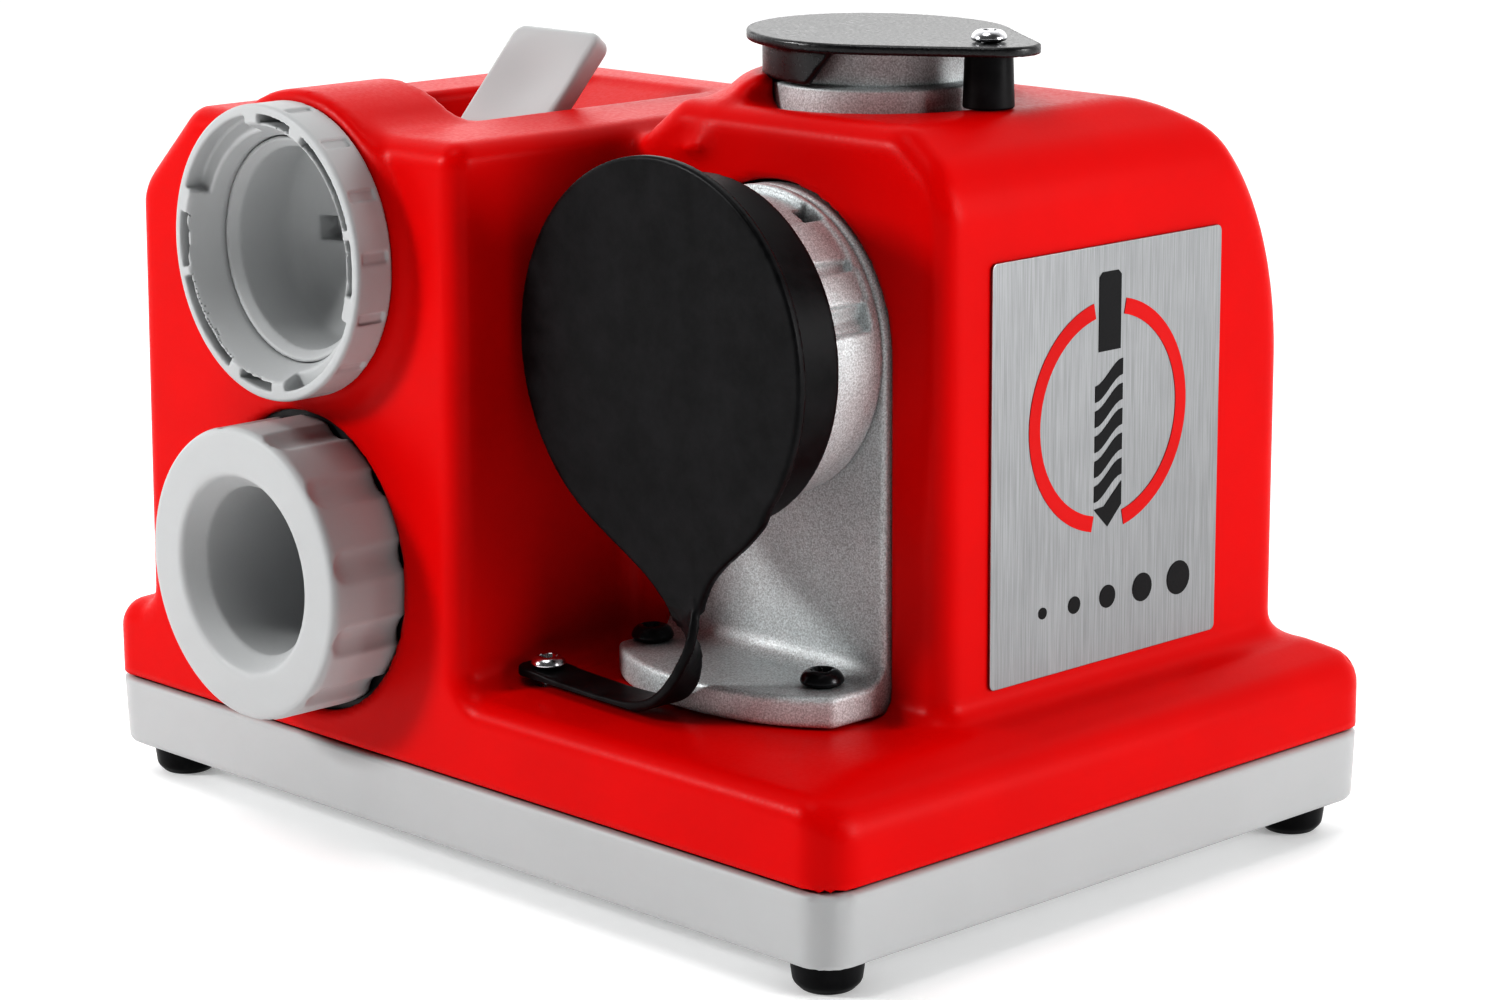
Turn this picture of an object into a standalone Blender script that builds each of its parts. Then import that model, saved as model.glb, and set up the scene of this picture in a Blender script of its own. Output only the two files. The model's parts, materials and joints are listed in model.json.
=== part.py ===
"""Bench drill bit sharpener: a moulded cover on a tray, with two grinding ports, a setting port,
a drill chuck stored in its socket, a paddle switch, and the motor and grinding wheel inside.

Every length below is in millimetres. X runs to the machine's right, -Y to its front, +Z up.
"""

import math

import bmesh
import bpy
from mathutils import Vector

MM = 0.001
GAP = 0.3
RUNNING = 0.15

# The footprint's centre lies behind the middle of the whole depth, because the chuck stands out in front.
FRAME_SHIFT_Y = 9.1

FOOT_HEIGHT = 7.5
FOOT_RADIUS = 8.0
FOOT_X, FOOT_Y = 112.0, 77.0

TRAY_HALF_X, TRAY_HALF_Y = 125.0, 90.0
TRAY_LOW, TRAY_HIGH = 7.8, 24.8
TRAY_FLOOR = 3.2
TRAY_WALL = 3.0
TRAY_CORNER = 9.0

COVER_LOW = TRAY_HIGH + GAP
COVER_WALL = 3.0
SKIRT_HALF_X, SKIRT_HALF_Y = 125.3, 90.3
LEDGE_Z = 46.5
FRONT_Y, BACK_Y = -90.0, 76.0
BODY_HALF_X = 108.0
LEFT_TOP_Z, RIGHT_TOP_Z = 168.0, 174.8
NICHE_X, NICHE_Y = 9.5, -38.0

PORT_X, PORT_Z = 57.5, 125.5
DOORWAY_RADIUS = 34.7
BRACKET_RADIUS = 34.0
BRACKET_THICKNESS = 5.5
BRACKET_FOOT_DEPTH = 28.3
BRACKET_FOOT_SPAN = 42.0
BRACKET_FOOT_HEIGHT = 7.0
BRACKET_SCREW_X = (28.1, 82.1)
BRACKET_SCREW_Y = -48.5
RING_FRONT_Y = -62.0
RING_RADIUS = 33.5
RING_BORE = 17.6

CAP_FRONT_Y = -74.0
CAP_BACK_Y = -57.0
CAP_THICKNESS = 2.3
CAP_DISC_RADIUS = 43.5
CAP_SKIRT_RADIUS = 38.4
STRAP_SCREW = (18.0, -71.0)
STRAP_THICKNESS = 2.2
STRAP_LIFT = 1.6

TOP_PORT_X, TOP_PORT_Y = 53.0, -1.0
TOP_RING_RADIUS = 23.2
TOP_RING_Z = 181.0
TOP_BORE = 16.0
COLLAR_RISE = 5.0
TOP_CAP_LOW, TOP_CAP_HIGH = 187.0, 189.2
TOP_CAP_RADIUS = 29.5
POST_X, POST_Y = 86.0, -1.0
POST_RADIUS = 5.0
TAIL_SPLIT_X = 74.0

DIAL_X, DIAL_Z = -43.5, 139.8
DIAL_RADIUS = 33.7
DIAL_DEPTH = 10.0
SLEEVE_BORE, SLEEVE_RADIUS = 26.0, 28.0
HUMP_RADIUS = 36.0
HUMP_BACK_Y = -60.0

CHUCK_X, CHUCK_Z = -45.0, 66.7
GRIP_RADIUS = 34.0
GRIP_FRONT = 18.5
GRIP_BACK = -2.5
GRIP_FLUTES = 12
GRIP_BORE = 19.6
CHUCK_RADIUS = 23.4
SLEEVE_WALL = 1.8
CHUCK_LENGTH = 40.0
SLEEVE_END = -20.5

WELL_LEFT, WELL_RIGHT = -66.0, -20.0
WELL_FRONT, WELL_BACK = -60.0, 18.0
WELL_FLOOR_Z = 157.0
PADDLE_LEFT, PADDLE_RIGHT = -52.0, -22.0
PADDLE_PIN_Y, PADDLE_PIN_Z = -31.0, 160.5
PADDLE_THICKNESS = 5.0

LABEL_Y = (-24.0, 51.5)
LABEL_Z = (52.5, 146.0)

MOTOR_Y, MOTOR_Z = 16.0, 108.0
MOTOR_RADIUS = 27.0
MOTOR_LEFT, MOTOR_RIGHT = -66.0, 26.0
SHAFT_RADIUS = 4.0
WHEEL_RADIUS = 33.0
WHEEL_WIDTH = 12.0

GLAND_X, GLAND_Z = -70.0, 64.0

FORWARD = (math.radians(90), 0, 0)
SIDEWAYS = (math.radians(90), 0, math.radians(90))
RIGHTWARD = (0, math.radians(90), 0)
UPRIGHT = (0, 0, 0)


# ---------------------------------------------------------------- outlines


def arc(centre_x, centre_y, radius, start, end, steps):
    """Points on an arc from start to end degrees, both ends included."""
    turn = (end - start) / steps
    angles = [math.radians(start + turn * i) for i in range(steps + 1)]
    return [(centre_x + radius * math.cos(a), centre_y + radius * math.sin(a)) for a in angles]


def softened(corners, steps=3):
    """The closed outline through (x, y, radius) corners, each rounded to its radius."""
    outline = []
    for i, (x, y, radius) in enumerate(corners):
        if not radius:
            outline.append((x, y))
            continue
        here = Vector((x, y))
        back = (Vector(corners[i - 1][:2]) - here).normalized()
        ahead = (Vector(corners[(i + 1) % len(corners)][:2]) - here).normalized()
        half = back.angle(ahead) / 2
        centre = here + (back + ahead).normalized() * (radius / math.sin(half))
        first = here + back * (radius / math.tan(half)) - centre
        last = here + ahead * (radius / math.tan(half)) - centre
        start = math.degrees(math.atan2(first.y, first.x))
        sweep = math.degrees(math.atan2(last.y, last.x)) - start
        sweep = (sweep + 180) % 360 - 180
        outline += arc(centre.x, centre.y, radius, start, start + sweep, steps)
    return outline


def rectangle(left, right, low, high, radius=0, steps=3):
    corners = [(left, low), (right, low), (right, high), (left, high)]
    return softened([(x, y, radius) for x, y in corners], steps)


def circle(centre_x, centre_y, radius, steps=32):
    return arc(centre_x, centre_y, radius, 0, 360 - 360 / steps, steps - 1)


# ---------------------------------------------------------------- meshes


def lofted(rings):
    """A closed solid through rings of points, which all hold the same number of points."""
    mesh = bmesh.new()
    loops = [[mesh.verts.new(Vector(point) * MM) for point in ring] for ring in rings]
    for lower, upper in zip(loops, loops[1:]):
        for i in range(len(lower)):
            mesh.faces.new((lower[i - 1], lower[i], upper[i], upper[i - 1]))
    mesh.faces.new(loops[0])
    mesh.faces.new(loops[-1])
    bmesh.ops.recalc_face_normals(mesh, faces=mesh.faces)
    return mesh


def prism(outline, low, high):
    return lofted([[(x, y, low) for x, y in outline], [(x, y, high) for x, y in outline]])


def turned(outline, steps=36):
    """A solid of revolution about Z through a closed outline of (radius, height)."""
    mesh = bmesh.new()
    loops = []
    for radius, height in outline:
        if radius == 0:
            loops.append([mesh.verts.new((0, 0, height * MM))] * steps)
            continue
        ring = circle(0, 0, radius, steps)
        loops.append([mesh.verts.new((x * MM, y * MM, height * MM)) for x, y in ring])
    for a in range(len(loops)):
        lower, upper = loops[a - 1], loops[a]
        for i in range(steps):
            corners = (lower[i - 1], lower[i], upper[i], upper[i - 1])
            distinct = list(dict.fromkeys(corners))
            if len(distinct) > 2:
                mesh.faces.new(distinct)
    bmesh.ops.recalc_face_normals(mesh, faces=mesh.faces)
    return mesh


def tube(inner, outer, low, high, steps=36):
    return turned([(inner, low), (outer, low), (outer, high), (inner, high)], steps)


def rod(radius, low, high, steps=24):
    return prism(circle(0, 0, radius, steps), low, high)


def ribbon(places, widths, acrosses, thickness):
    """A flat strip along places; acrosses are the directions of its width at each place."""
    rings = []
    for i, place in enumerate(places):
        here = Vector(place)
        ahead = Vector(places[min(i + 1, len(places) - 1)]) - Vector(places[max(i - 1, 0)])
        across = Vector(acrosses[i]).normalized() * widths[i] / 2
        through = ahead.cross(across).normalized() * thickness / 2
        rings.append([here - across - through, here + across - through,
                      here + across + through, here - across + through])
    return lofted(rings)


# ---------------------------------------------------------------- objects


def finish(name, colour, roughness, metallic=0.0):
    material = bpy.data.materials.new(name)
    material.use_nodes = True
    shader = material.node_tree.nodes["Principled BSDF"]
    shader.inputs["Base Color"].default_value = (*colour, 1)
    shader.inputs["Roughness"].default_value = roughness
    shader.inputs["Metallic"].default_value = metallic
    return material


def place(name, mesh, frame, at, turn):
    data = bpy.data.meshes.new(name)
    mesh.to_mesh(data)
    mesh.free()
    piece = bpy.data.objects.new(name, data)
    piece.parent = frame
    piece.location = Vector(at) * MM
    piece.rotation_euler = turn
    bpy.context.scene.collection.objects.link(piece)
    return piece


def solid(name, mesh, material, frame, at=(0, 0, 0), turn=UPRIGHT):
    """A visible piece of the machine."""
    piece = place(name, mesh, frame, at, turn)
    piece.data.materials.append(material)
    piece.data.shade_smooth()
    piece.data.set_sharp_from_angle(angle=math.radians(35))
    return piece


def shaped(piece, operation, mesh, at=(0, 0, 0), turn=UPRIGHT):
    """Cuts, joins or intersects the piece with a helper solid, and returns the helper."""
    helper = place(piece.name + "_helper", mesh, piece.parent, at, turn)
    helper.hide_render = True
    helper.display_type = "WIRE"
    modifier = piece.modifiers.new(operation.lower(), "BOOLEAN")
    modifier.operation = operation
    modifier.object = helper
    return helper


def cut(piece, mesh, at=(0, 0, 0), turn=UPRIGHT):
    return shaped(piece, "DIFFERENCE", mesh, at, turn)


def join(piece, mesh, at=(0, 0, 0), turn=UPRIGHT):
    return shaped(piece, "UNION", mesh, at, turn)


def screw(name, material, frame, at, head_radius, head_height, shank_radius, length, turn=UPRIGHT):
    """A pan head screw with its head's underside at the given place and its shank below."""
    outline = [(0, -length), (shank_radius, -length), (shank_radius, 0), (head_radius, 0),
               (head_radius, head_height * 0.45), (head_radius * 0.7, head_height), (0, head_height)]
    return solid(name, turned(outline, 12), material, frame, at, turn)


# ---------------------------------------------------------------- base


def base_tray(material, frame):
    def ring(inset, height):
        half_x, half_y = TRAY_HALF_X - inset, TRAY_HALF_Y - inset
        outline = rectangle(-half_x, half_x, -half_y, half_y, TRAY_CORNER - inset)
        return [(x, y, height) for x, y in outline]

    tray = solid("base_tray", lofted([ring(0.7, TRAY_LOW), ring(0, TRAY_HIGH)]), material, frame)
    cut(tray, lofted([ring(TRAY_WALL + 0.7, TRAY_LOW + TRAY_FLOOR), ring(TRAY_WALL, TRAY_HIGH + 1)]))
    for x in (-FOOT_X, FOOT_X):
        for y in (-FOOT_Y, FOOT_Y):
            join(tray, rod(6.0, TRAY_LOW + 1, TRAY_HIGH - GAP, 12), (x, y, 0))
            cut(tray, rod(2.0, 0, TRAY_HIGH + 5, 10), (x, y, 0))
    for i in range(6):
        slot = rectangle(-60 + 18 * i, -56 + 18 * i, -20, 50, 1.8, 2)
        cut(tray, prism(slot, TRAY_LOW - 2, TRAY_LOW + TRAY_FLOOR + 1))
    return tray


def feet(rubber, steel, frame):
    dome = [(2.0, 3.4), (4.2, 3.4), (4.2, 0), (5.6, 0), (7.4, 1.8), (FOOT_RADIUS, FOOT_HEIGHT),
            (2.0, FOOT_HEIGHT)]
    corners = [(x, y) for y in (-FOOT_Y, FOOT_Y) for x in (-FOOT_X, FOOT_X)]
    for number, (x, y) in enumerate(corners, 1):
        solid(f"foot_{number}", turned(dome, 20), rubber, frame, (x, y, 0))
        screw(f"case_screw_{number}", steel, frame, (x, y, 3.1), 3.6, 2.3, 1.7, 31.0, (math.pi, 0, 0))


# ---------------------------------------------------------------- cover


def skirt(inset, low):
    """The cover's lower part, which slopes in from the tray's edge to the ledge."""
    def ring(half_x, front, back, radius, height):
        outline = rectangle(-half_x + inset, half_x - inset, front + inset, back - inset, radius)
        return [(x, y, height) for x, y in outline]

    return lofted([
        ring(SKIRT_HALF_X, -SKIRT_HALF_Y, SKIRT_HALF_Y, 9, low),
        ring(SKIRT_HALF_X, -SKIRT_HALF_Y, SKIRT_HALF_Y, 9, 38 - inset),
        ring(SKIRT_HALF_X - 1.3, -SKIRT_HALF_Y + 0.8, SKIRT_HALF_Y - 1, 8.5, 41 - inset),
        ring(BODY_HALF_X + 2.5, -87.5, BACK_Y + 3, 6, LEDGE_Z - inset),
    ])


def left_front_outline(inset, low):
    right = NICHE_X - inset
    return softened([
        (-BODY_HALF_X + inset, low, 0), (right, low, 0), (right, LEFT_TOP_Z - inset, 4),
        (-87 + inset * 0.4, LEFT_TOP_Z - inset, 4), (-BODY_HALF_X + inset, 148 - inset * 0.4, 4),
    ])


def left_side_outline(inset, low):
    top = LEFT_TOP_Z - inset
    return softened([
        (FRONT_Y + inset, low, 0), (FRONT_Y + inset, 120, 0), (-87 + inset, top, 5), (18, top, 12),
        (60 - inset, 148 - inset, 26), (BACK_Y - inset, 112, 26), (BACK_Y - inset, low, 0),
    ][::-1])


def right_front_outline(inset, low):
    left = NICHE_X + 4 if inset else 0
    return softened([
        (left, low, 0), (BODY_HALF_X - inset, low, 0), (BODY_HALF_X - inset, 157 - inset * 0.5, 6),
        (94 - inset * 0.5, RIGHT_TOP_Z - inset, 6), (25 + inset, RIGHT_TOP_Z - inset, 4),
        (11 + inset, 164.5 - inset, 0), (left, 160 - inset, 0),
    ])


def right_side_outline(inset, low):
    top = RIGHT_TOP_Z - inset
    return softened([
        (NICHE_Y + inset, low, 0), (NICHE_Y + inset, top, 5), (34, top, 16), (63 - inset, 156 - inset, 30),
        (BACK_Y - inset, 118, 28), (BACK_Y - inset, low, 0),
    ][::-1])


def block(name, front_outline, side_outline, plan, inset, low, frame):
    """A body block: what its front view, its side view and its plan have in common."""
    mesh = prism(front_outline(inset, low), -BACK_Y - 10, -FRONT_Y + 10)
    piece = place(name, mesh, frame, (0, 0, 0), FORWARD)
    piece.hide_render = True
    piece.display_type = "WIRE"
    shaped(piece, "INTERSECT", prism(side_outline(inset, low), -130, 130), (0, 0, 0), SIDEWAYS)
    shaped(piece, "INTERSECT", prism(plan, low - 5, 200))
    return piece


def combine(piece, operation, helper):
    modifier = piece.modifiers.new(operation.lower(), "BOOLEAN")
    modifier.operation = operation
    modifier.object = helper


def cover_blocks(inset, low, frame):
    edge = BODY_HALF_X - inset
    corner = 7 - inset
    left_plan = rectangle(-edge, 130, FRONT_Y + inset, BACK_Y - inset, corner)
    right_plan = softened([
        (-130, NICHE_Y + inset, 0), (edge, NICHE_Y + inset, corner),
        (edge, BACK_Y - inset, corner), (-130, BACK_Y - inset, 0),
    ])
    name = "cover_hollow" if inset else "cover_body"
    return (block(name + "_left", left_front_outline, left_side_outline, left_plan, inset, low, frame),
            block(name + "_right", right_front_outline, right_side_outline, right_plan, inset, low, frame))


def port_collar():
    """The raised C round the left of the top port, which sinks into the top at both its ends."""
    inner, rim, foot, slope = TOP_RING_RADIUS + 3.3, 30.5, RIGHT_TOP_Z - 9, 1.2
    first, last, steps = 105, 255, 14
    rings = []
    for i in range(steps + 1):
        angle = math.radians(first + (last - first) * i / steps)
        top = RIGHT_TOP_Z + 0.2 + COLLAR_RISE * min(1, 2 * math.sin(math.pi * i / steps))
        section = [(inner, RIGHT_TOP_Z - 2.6), (inner, top), (rim, top), (rim + (top - foot) / slope, foot),
                   (rim + 0.5, RIGHT_TOP_Z - 2.6)]
        rings.append([(r * math.cos(angle), r * math.sin(angle), z) for r, z in section])
    return lofted(rings)


def housing_cover(material, frame):
    cover = solid("housing_cover", skirt(0, COVER_LOW), material, frame)
    for body in cover_blocks(0, 41, frame):
        combine(cover, "UNION", body)
    join(cover, rod(HUMP_RADIUS, -HUMP_BACK_Y, -FRONT_Y - 0.2, 44), (DIAL_X, 0, DIAL_Z), FORWARD)
    join(cover, port_collar(), (TOP_PORT_X, TOP_PORT_Y, 0))
    cut(cover, skirt(COVER_WALL, COVER_LOW - 3))
    for hollow in cover_blocks(COVER_WALL, COVER_LOW - 3, frame):
        combine(cover, "DIFFERENCE", hollow)
    passage = rectangle(0, NICHE_X + 8, NICHE_Y + 6, 58)
    cut(cover, prism(passage, COVER_LOW - 3, 138))
    cover_well(cover)
    cover_openings(cover)
    for x in (-FOOT_X, FOOT_X):
        for y in (-FOOT_Y, FOOT_Y):
            join(cover, rod(5.0, COVER_LOW + 0.2, 43.6, 12), (x, y, 0))
            cut(cover, rod(2.0, 0, 36, 10), (x, y, 0))
    return cover


def cover_well(cover):
    """The paddle's well: a block under the top with a ramp that rises to its back rim."""
    join(cover, prism(rectangle(WELL_LEFT - 3, WELL_RIGHT + 3, WELL_FRONT - 3, WELL_BACK + 4),
                      WELL_FLOOR_Z - 3, LEFT_TOP_Z - 1.5))
    ramp = [(WELL_FRONT, WELL_FLOOR_Z), (-14, WELL_FLOOR_Z), (WELL_BACK, LEFT_TOP_Z - 0.6),
            (WELL_BACK + 2, LEFT_TOP_Z + 9), (WELL_FRONT, LEFT_TOP_Z + 9)]
    cut(cover, prism(ramp, WELL_LEFT, WELL_RIGHT), (0, 0, 0), SIDEWAYS)
    mouth = rectangle(PADDLE_LEFT - 2, PADDLE_RIGHT + 1.5, PADDLE_PIN_Y - 9, PADDLE_PIN_Y + 9, 2)
    cut(cover, prism(mouth, WELL_FLOOR_Z - 8, WELL_FLOOR_Z + 2))


def cover_openings(cover):
    left, right = PORT_X - DOORWAY_RADIUS, PORT_X + DOORWAY_RADIUS
    doorway = arc(PORT_X, PORT_Z, DOORWAY_RADIUS, 0, 180, 24)
    doorway += [(left, LEDGE_Z + 0.2), (right, LEDGE_Z + 0.2)]
    cut(cover, prism(doorway, -NICHE_Y - 6, -NICHE_Y + 6), (0, 0, 0), FORWARD)
    cut(cover, rod(TOP_RING_RADIUS + 0.4, 160, 190, 36), (TOP_PORT_X, TOP_PORT_Y, 0))
    cut(cover, rod(SLEEVE_RADIUS + RUNNING, -HUMP_BACK_Y + 2, 100, 40), (DIAL_X, 0, DIAL_Z), FORWARD)
    cut(cover, rod(GRIP_RADIUS + 1.2, -FRONT_Y - 6, -FRONT_Y + 6, 40), (CHUCK_X, 0, CHUCK_Z), FORWARD)
    cut(cover, rod(6.3, -BACK_Y - 6, -BACK_Y + 6, 16), (GLAND_X, 0, GLAND_Z), FORWARD)
    for x in BRACKET_SCREW_X:
        cut(cover, rod(2.8, 30, 55, 12), (x, BRACKET_SCREW_Y, 0))
    cut(cover, rod(2.2, 30, 55, 12), (*STRAP_SCREW, 0))
    cut(cover, rod(2.2, 165, 185, 12), (POST_X, POST_Y, 0))


def label_plate(material, frame):
    outline = rectangle(*LABEL_Y, *LABEL_Z, 1.5, 2)
    low = BODY_HALF_X + GAP
    return solid("label_plate", prism(outline, low, low + 0.6), material, frame, turn=SIDEWAYS)


def cord_gland(material, frame):
    """A bushing through the back wall, which a cord would leave by."""
    back = BACK_Y
    outline = [(3.6, -back + 10), (6.0, -back + 10), (6.0, -back - GAP), (8.5, -back - GAP),
               (8.5, -back - 3), (5.6, -back - 13), (3.6, -back - 13)]
    return solid("cord_gland", turned(outline, 16), material, frame, (GLAND_X, 0, GLAND_Z), FORWARD)


# ---------------------------------------------------------------- front grinding port


def front_port_bracket(material, frame):
    """The L-shaped casting that fills the doorway and stands on the ledge."""
    foot_z = LEDGE_Z + 0.35
    sides = [(PORT_X - BRACKET_RADIUS, foot_z), (PORT_X + BRACKET_RADIUS, foot_z)]
    outline = arc(PORT_X, PORT_Z, BRACKET_RADIUS, 0, 180, 24) + sides
    front = -NICHE_Y + 1.0
    plate = prism(outline, front - BRACKET_THICKNESS, front)
    bracket = solid("front_port_bracket", plate, material, frame, turn=FORWARD)
    steps = 16
    reaches = [BRACKET_RADIUS * (2 * i / steps - 1) for i in range(steps + 1)]
    foot = [(PORT_X + x, NICHE_Y - BRACKET_FOOT_DEPTH * math.sqrt(1 - (x / BRACKET_FOOT_SPAN) ** 2))
            for x in reaches]
    foot += [(PORT_X + BRACKET_RADIUS, -36), (PORT_X - BRACKET_RADIUS, -36)]
    join(bracket, prism(foot, foot_z, foot_z + BRACKET_FOOT_HEIGHT))
    cut(bracket, rod(20.8, 20, 60, 36), (PORT_X, 0, PORT_Z), FORWARD)
    for x in BRACKET_SCREW_X:
        cut(bracket, rod(2.9, 40, 60, 12), (x, BRACKET_SCREW_Y, 0))
    return bracket


def bracket_screws(material, frame):
    head_z = LEDGE_Z + 0.35 + BRACKET_FOOT_HEIGHT + GAP
    for number, x in enumerate(BRACKET_SCREW_X, 1):
        at = (x, BRACKET_SCREW_Y, head_z)
        screw(f"bracket_screw_{number}", material, frame, at, 4.7, 3.4, 2.4, 16)


def front_port_ring(material, frame):
    """The indexing ring that the chuck is pushed and rocked into."""
    back = -NICHE_Y + 1.0 + GAP
    front = -RING_FRONT_Y
    outline = [(RING_BORE, back - 9), (20.4, back - 9), (20.4, back), (RING_RADIUS, back),
               (RING_RADIUS, front - 1.5), (RING_RADIUS - 1.5, front), (24, front), (24, front - 8),
               (RING_BORE, front - 8)]
    ring = solid("front_port_ring", turned(outline, 36), material, frame, (PORT_X, 0, PORT_Z), FORWARD)
    lug = rectangle(20, 40, -4, 4)
    for angle in (40, 220):
        spin = (math.radians(90), math.radians(-angle), 0)
        cut(ring, prism(lug, front - 6, front + 2), (PORT_X, 0, PORT_Z), spin)
    return ring


def front_cap(material, frame):
    """The dust cap: a skirted disc whose lower edge draws in to the neck of its strap."""
    centre = (PORT_X, PORT_Z)
    disc = arc(*centre, CAP_DISC_RADIUS, -52, 257, 38)
    tail = [(52.5, 79), (58, 74.2), (60.6, 72), (70.1, 72), (70.9, 74.2), (73.6, 79.4), (77.7, 84.8)]
    front = -CAP_FRONT_Y
    cap = solid("front_cap", prism(disc + tail, front - CAP_THICKNESS, front), material, frame, turn=FORWARD)
    cuff = tube(RING_RADIUS + 0.7, CAP_SKIRT_RADIUS, -CAP_BACK_Y, front - 1.0, 36)
    join(cap, cuff, (PORT_X, 0, PORT_Z), FORWARD)
    return cap


def front_cap_strap(material, frame):
    """The strap, which drops from the cap, turns a quarter round and lies towards its screw."""
    x, y = STRAP_SCREW
    low = LEDGE_Z + STRAP_LIFT
    places = [(65.3, -72.9, 71.7), (66.5, -73.0, 68.5), (67, -73.1, 65), (66.6, -73.2, 61.5),
              (65.4, -73.3, 58), (63, -73.2, 54.4), (59.3, -72.9, low + 3.2), (54.5, -72.4, low + 1.2),
              (49, -72.2, low + 0.2), (42, -72, low), (34, -71.6, low), (25, -71.2, low + 0.3),
              (x, y, low + 0.8), (x - 6, y, low + 1.2)]
    widths = [9.3, 9.4, 9.5, 9.5, 9.5, 10, 10.3, 10.5, 10.5, 10.5, 10.5, 10.5, 10.5, 8]
    turns = [0, -28, -48, -66, -78, -86, -90, -90, -90, -90, -90, -90, -90, -90]
    acrosses = [(math.cos(math.radians(a)), math.sin(math.radians(a)), 0) for a in turns]
    strap = solid("front_cap_strap", ribbon(places, widths, acrosses, STRAP_THICKNESS), material, frame)
    cut(strap, rod(2.2, low - 6, low + 8, 12), (x, y, 0))
    return strap


def strap_screw(material, frame):
    at = (*STRAP_SCREW, LEDGE_Z + STRAP_LIFT + 0.8 + STRAP_THICKNESS / 2 + GAP + 0.1)
    return screw("strap_screw", material, frame, at, 4.0, 2.7, 1.8, 14)


# ---------------------------------------------------------------- top grinding port


def top_port_ring(material, frame):
    wall = RIGHT_TOP_Z - COVER_WALL
    outline = [(TOP_BORE, 150), (18.5, 150), (18.5, 164), (25, 166), (25, wall - GAP),
               (TOP_RING_RADIUS, wall - GAP), (TOP_RING_RADIUS, TOP_RING_Z), (20.4, TOP_RING_Z),
               (20.4, TOP_CAP_LOW - 0.4), (TOP_BORE, TOP_CAP_LOW - 0.4)]
    return solid("top_port_ring", turned(outline, 36), material, frame, (TOP_PORT_X, TOP_PORT_Y, 0))


def top_cap_outline():
    """The cap's plan: a disc that draws in to a rounded tail over the post."""
    reach = POST_X + 12 - TOP_PORT_X
    tail_radius = 9.0
    lean = math.degrees(math.acos((TOP_CAP_RADIUS - tail_radius) / (reach - tail_radius)))
    disc = arc(TOP_PORT_X, TOP_PORT_Y, TOP_CAP_RADIUS, lean, 360 - lean, 30)
    tail = arc(TOP_PORT_X + reach - tail_radius, TOP_PORT_Y, tail_radius, -lean, lean, 8)
    return disc + tail


def top_cap(material, frame):
    outline = top_cap_outline()
    cap = solid("top_cap", prism(outline, TOP_CAP_LOW, TOP_CAP_HIGH), material, frame)
    beyond = prism(rectangle(TAIL_SPLIT_X, 130, -60, 60), TOP_CAP_LOW - 3, TOP_CAP_HIGH + 3)
    cut(cap, beyond)
    cuff = arc(0, 0, 26, 40, 278, 24) + arc(0, 0, 23.6, 278, 40, 24)
    join(cap, prism(cuff, TOP_RING_Z - 2, TOP_CAP_LOW + 1), (TOP_PORT_X, TOP_PORT_Y, 0))
    return cap


def top_cap_tail(material, frame):
    tail = solid("top_cap_tail", prism(top_cap_outline(), TOP_CAP_LOW, TOP_CAP_HIGH), material, frame)
    within = prism(rectangle(0, TAIL_SPLIT_X + GAP, -60, 60), TOP_CAP_LOW - 3, TOP_CAP_HIGH + 3)
    cut(tail, within)
    cut(tail, rod(2.2, 170, 200, 12), (POST_X, POST_Y, 0))
    return tail


def cap_post(rubber, steel, frame):
    low = RIGHT_TOP_Z + GAP
    post = tube(2.1, POST_RADIUS, low, TOP_CAP_LOW - GAP, 16)
    solid("cap_post", post, rubber, frame, (POST_X, POST_Y, 0))
    at = (POST_X, POST_Y, TOP_CAP_HIGH + GAP)
    screw("cap_post_screw", steel, frame, at, 4.0, 2.7, 1.8, 24)


# ---------------------------------------------------------------- setting port


def setting_dial(material, frame):
    """The ring that turns on the socket's rim: a channelled face with two lug windows."""
    back = GAP
    channel_in, channel_out, channel_floor = 29.4, 31.5, 4
    outline = [(SLEEVE_BORE, -6), (SLEEVE_RADIUS, -6), (SLEEVE_RADIUS, back), (DIAL_RADIUS, back),
               (DIAL_RADIUS, DIAL_DEPTH), (channel_out, DIAL_DEPTH), (channel_out, channel_floor),
               (channel_in, channel_floor), (channel_in, DIAL_DEPTH - 0.6), (SLEEVE_BORE, DIAL_DEPTH - 0.6)]
    at = (DIAL_X, FRONT_Y, DIAL_Z)
    dial = solid("setting_dial", turned(outline, 40), material, frame, at, FORWARD)
    for side in (0, 180):
        for start, end in ((12, 16), (62, 70), (92, 102), (156, 168)):
            rib = arc(0, 0, 32.2, start + side, end + side, 2) + arc(0, 0, 28.8, end + side, start + side, 2)
            join(dial, prism(rib, channel_floor - 1, DIAL_DEPTH - 0.9), at, FORWARD)
        window = arc(0, 0, 31.2, 101 + side, 157 + side, 10) + arc(0, 0, 20, 157 + side, 101 + side, 10)
        cut(dial, prism(window, 5.5, DIAL_DEPTH + 2), at, FORWARD)
    return dial


def setting_socket(material, frame):
    """The cup behind the dial, which sets how far a bit stands out of its chuck."""
    lip = SLEEVE_BORE - 2 * RUNNING
    outline = [(0, -37.5), (7, -36.5), (13, -32.5), (13.5, -26.3), (21, -24.5), (lip, -18), (lip, 3.4),
               (23.2, 3.4), (23.2, -17), (20, -21.5), (13, -23.5), (10.5, -30.5), (6, -33.5), (0, -34.5)]
    at = (DIAL_X, FRONT_Y, DIAL_Z)
    socket = solid("setting_socket", turned(outline, 40), material, frame, at, FORWARD)
    flange = arc(0, 0, 34, 200, 340, 12) + arc(0, 0, 25, 340, 200, 8)
    join(socket, prism(flange, -COVER_WALL - GAP - 6.5, -COVER_WALL - GAP - 3.2), at, FORWARD)
    return socket


# ---------------------------------------------------------------- chuck in its storage socket


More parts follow.
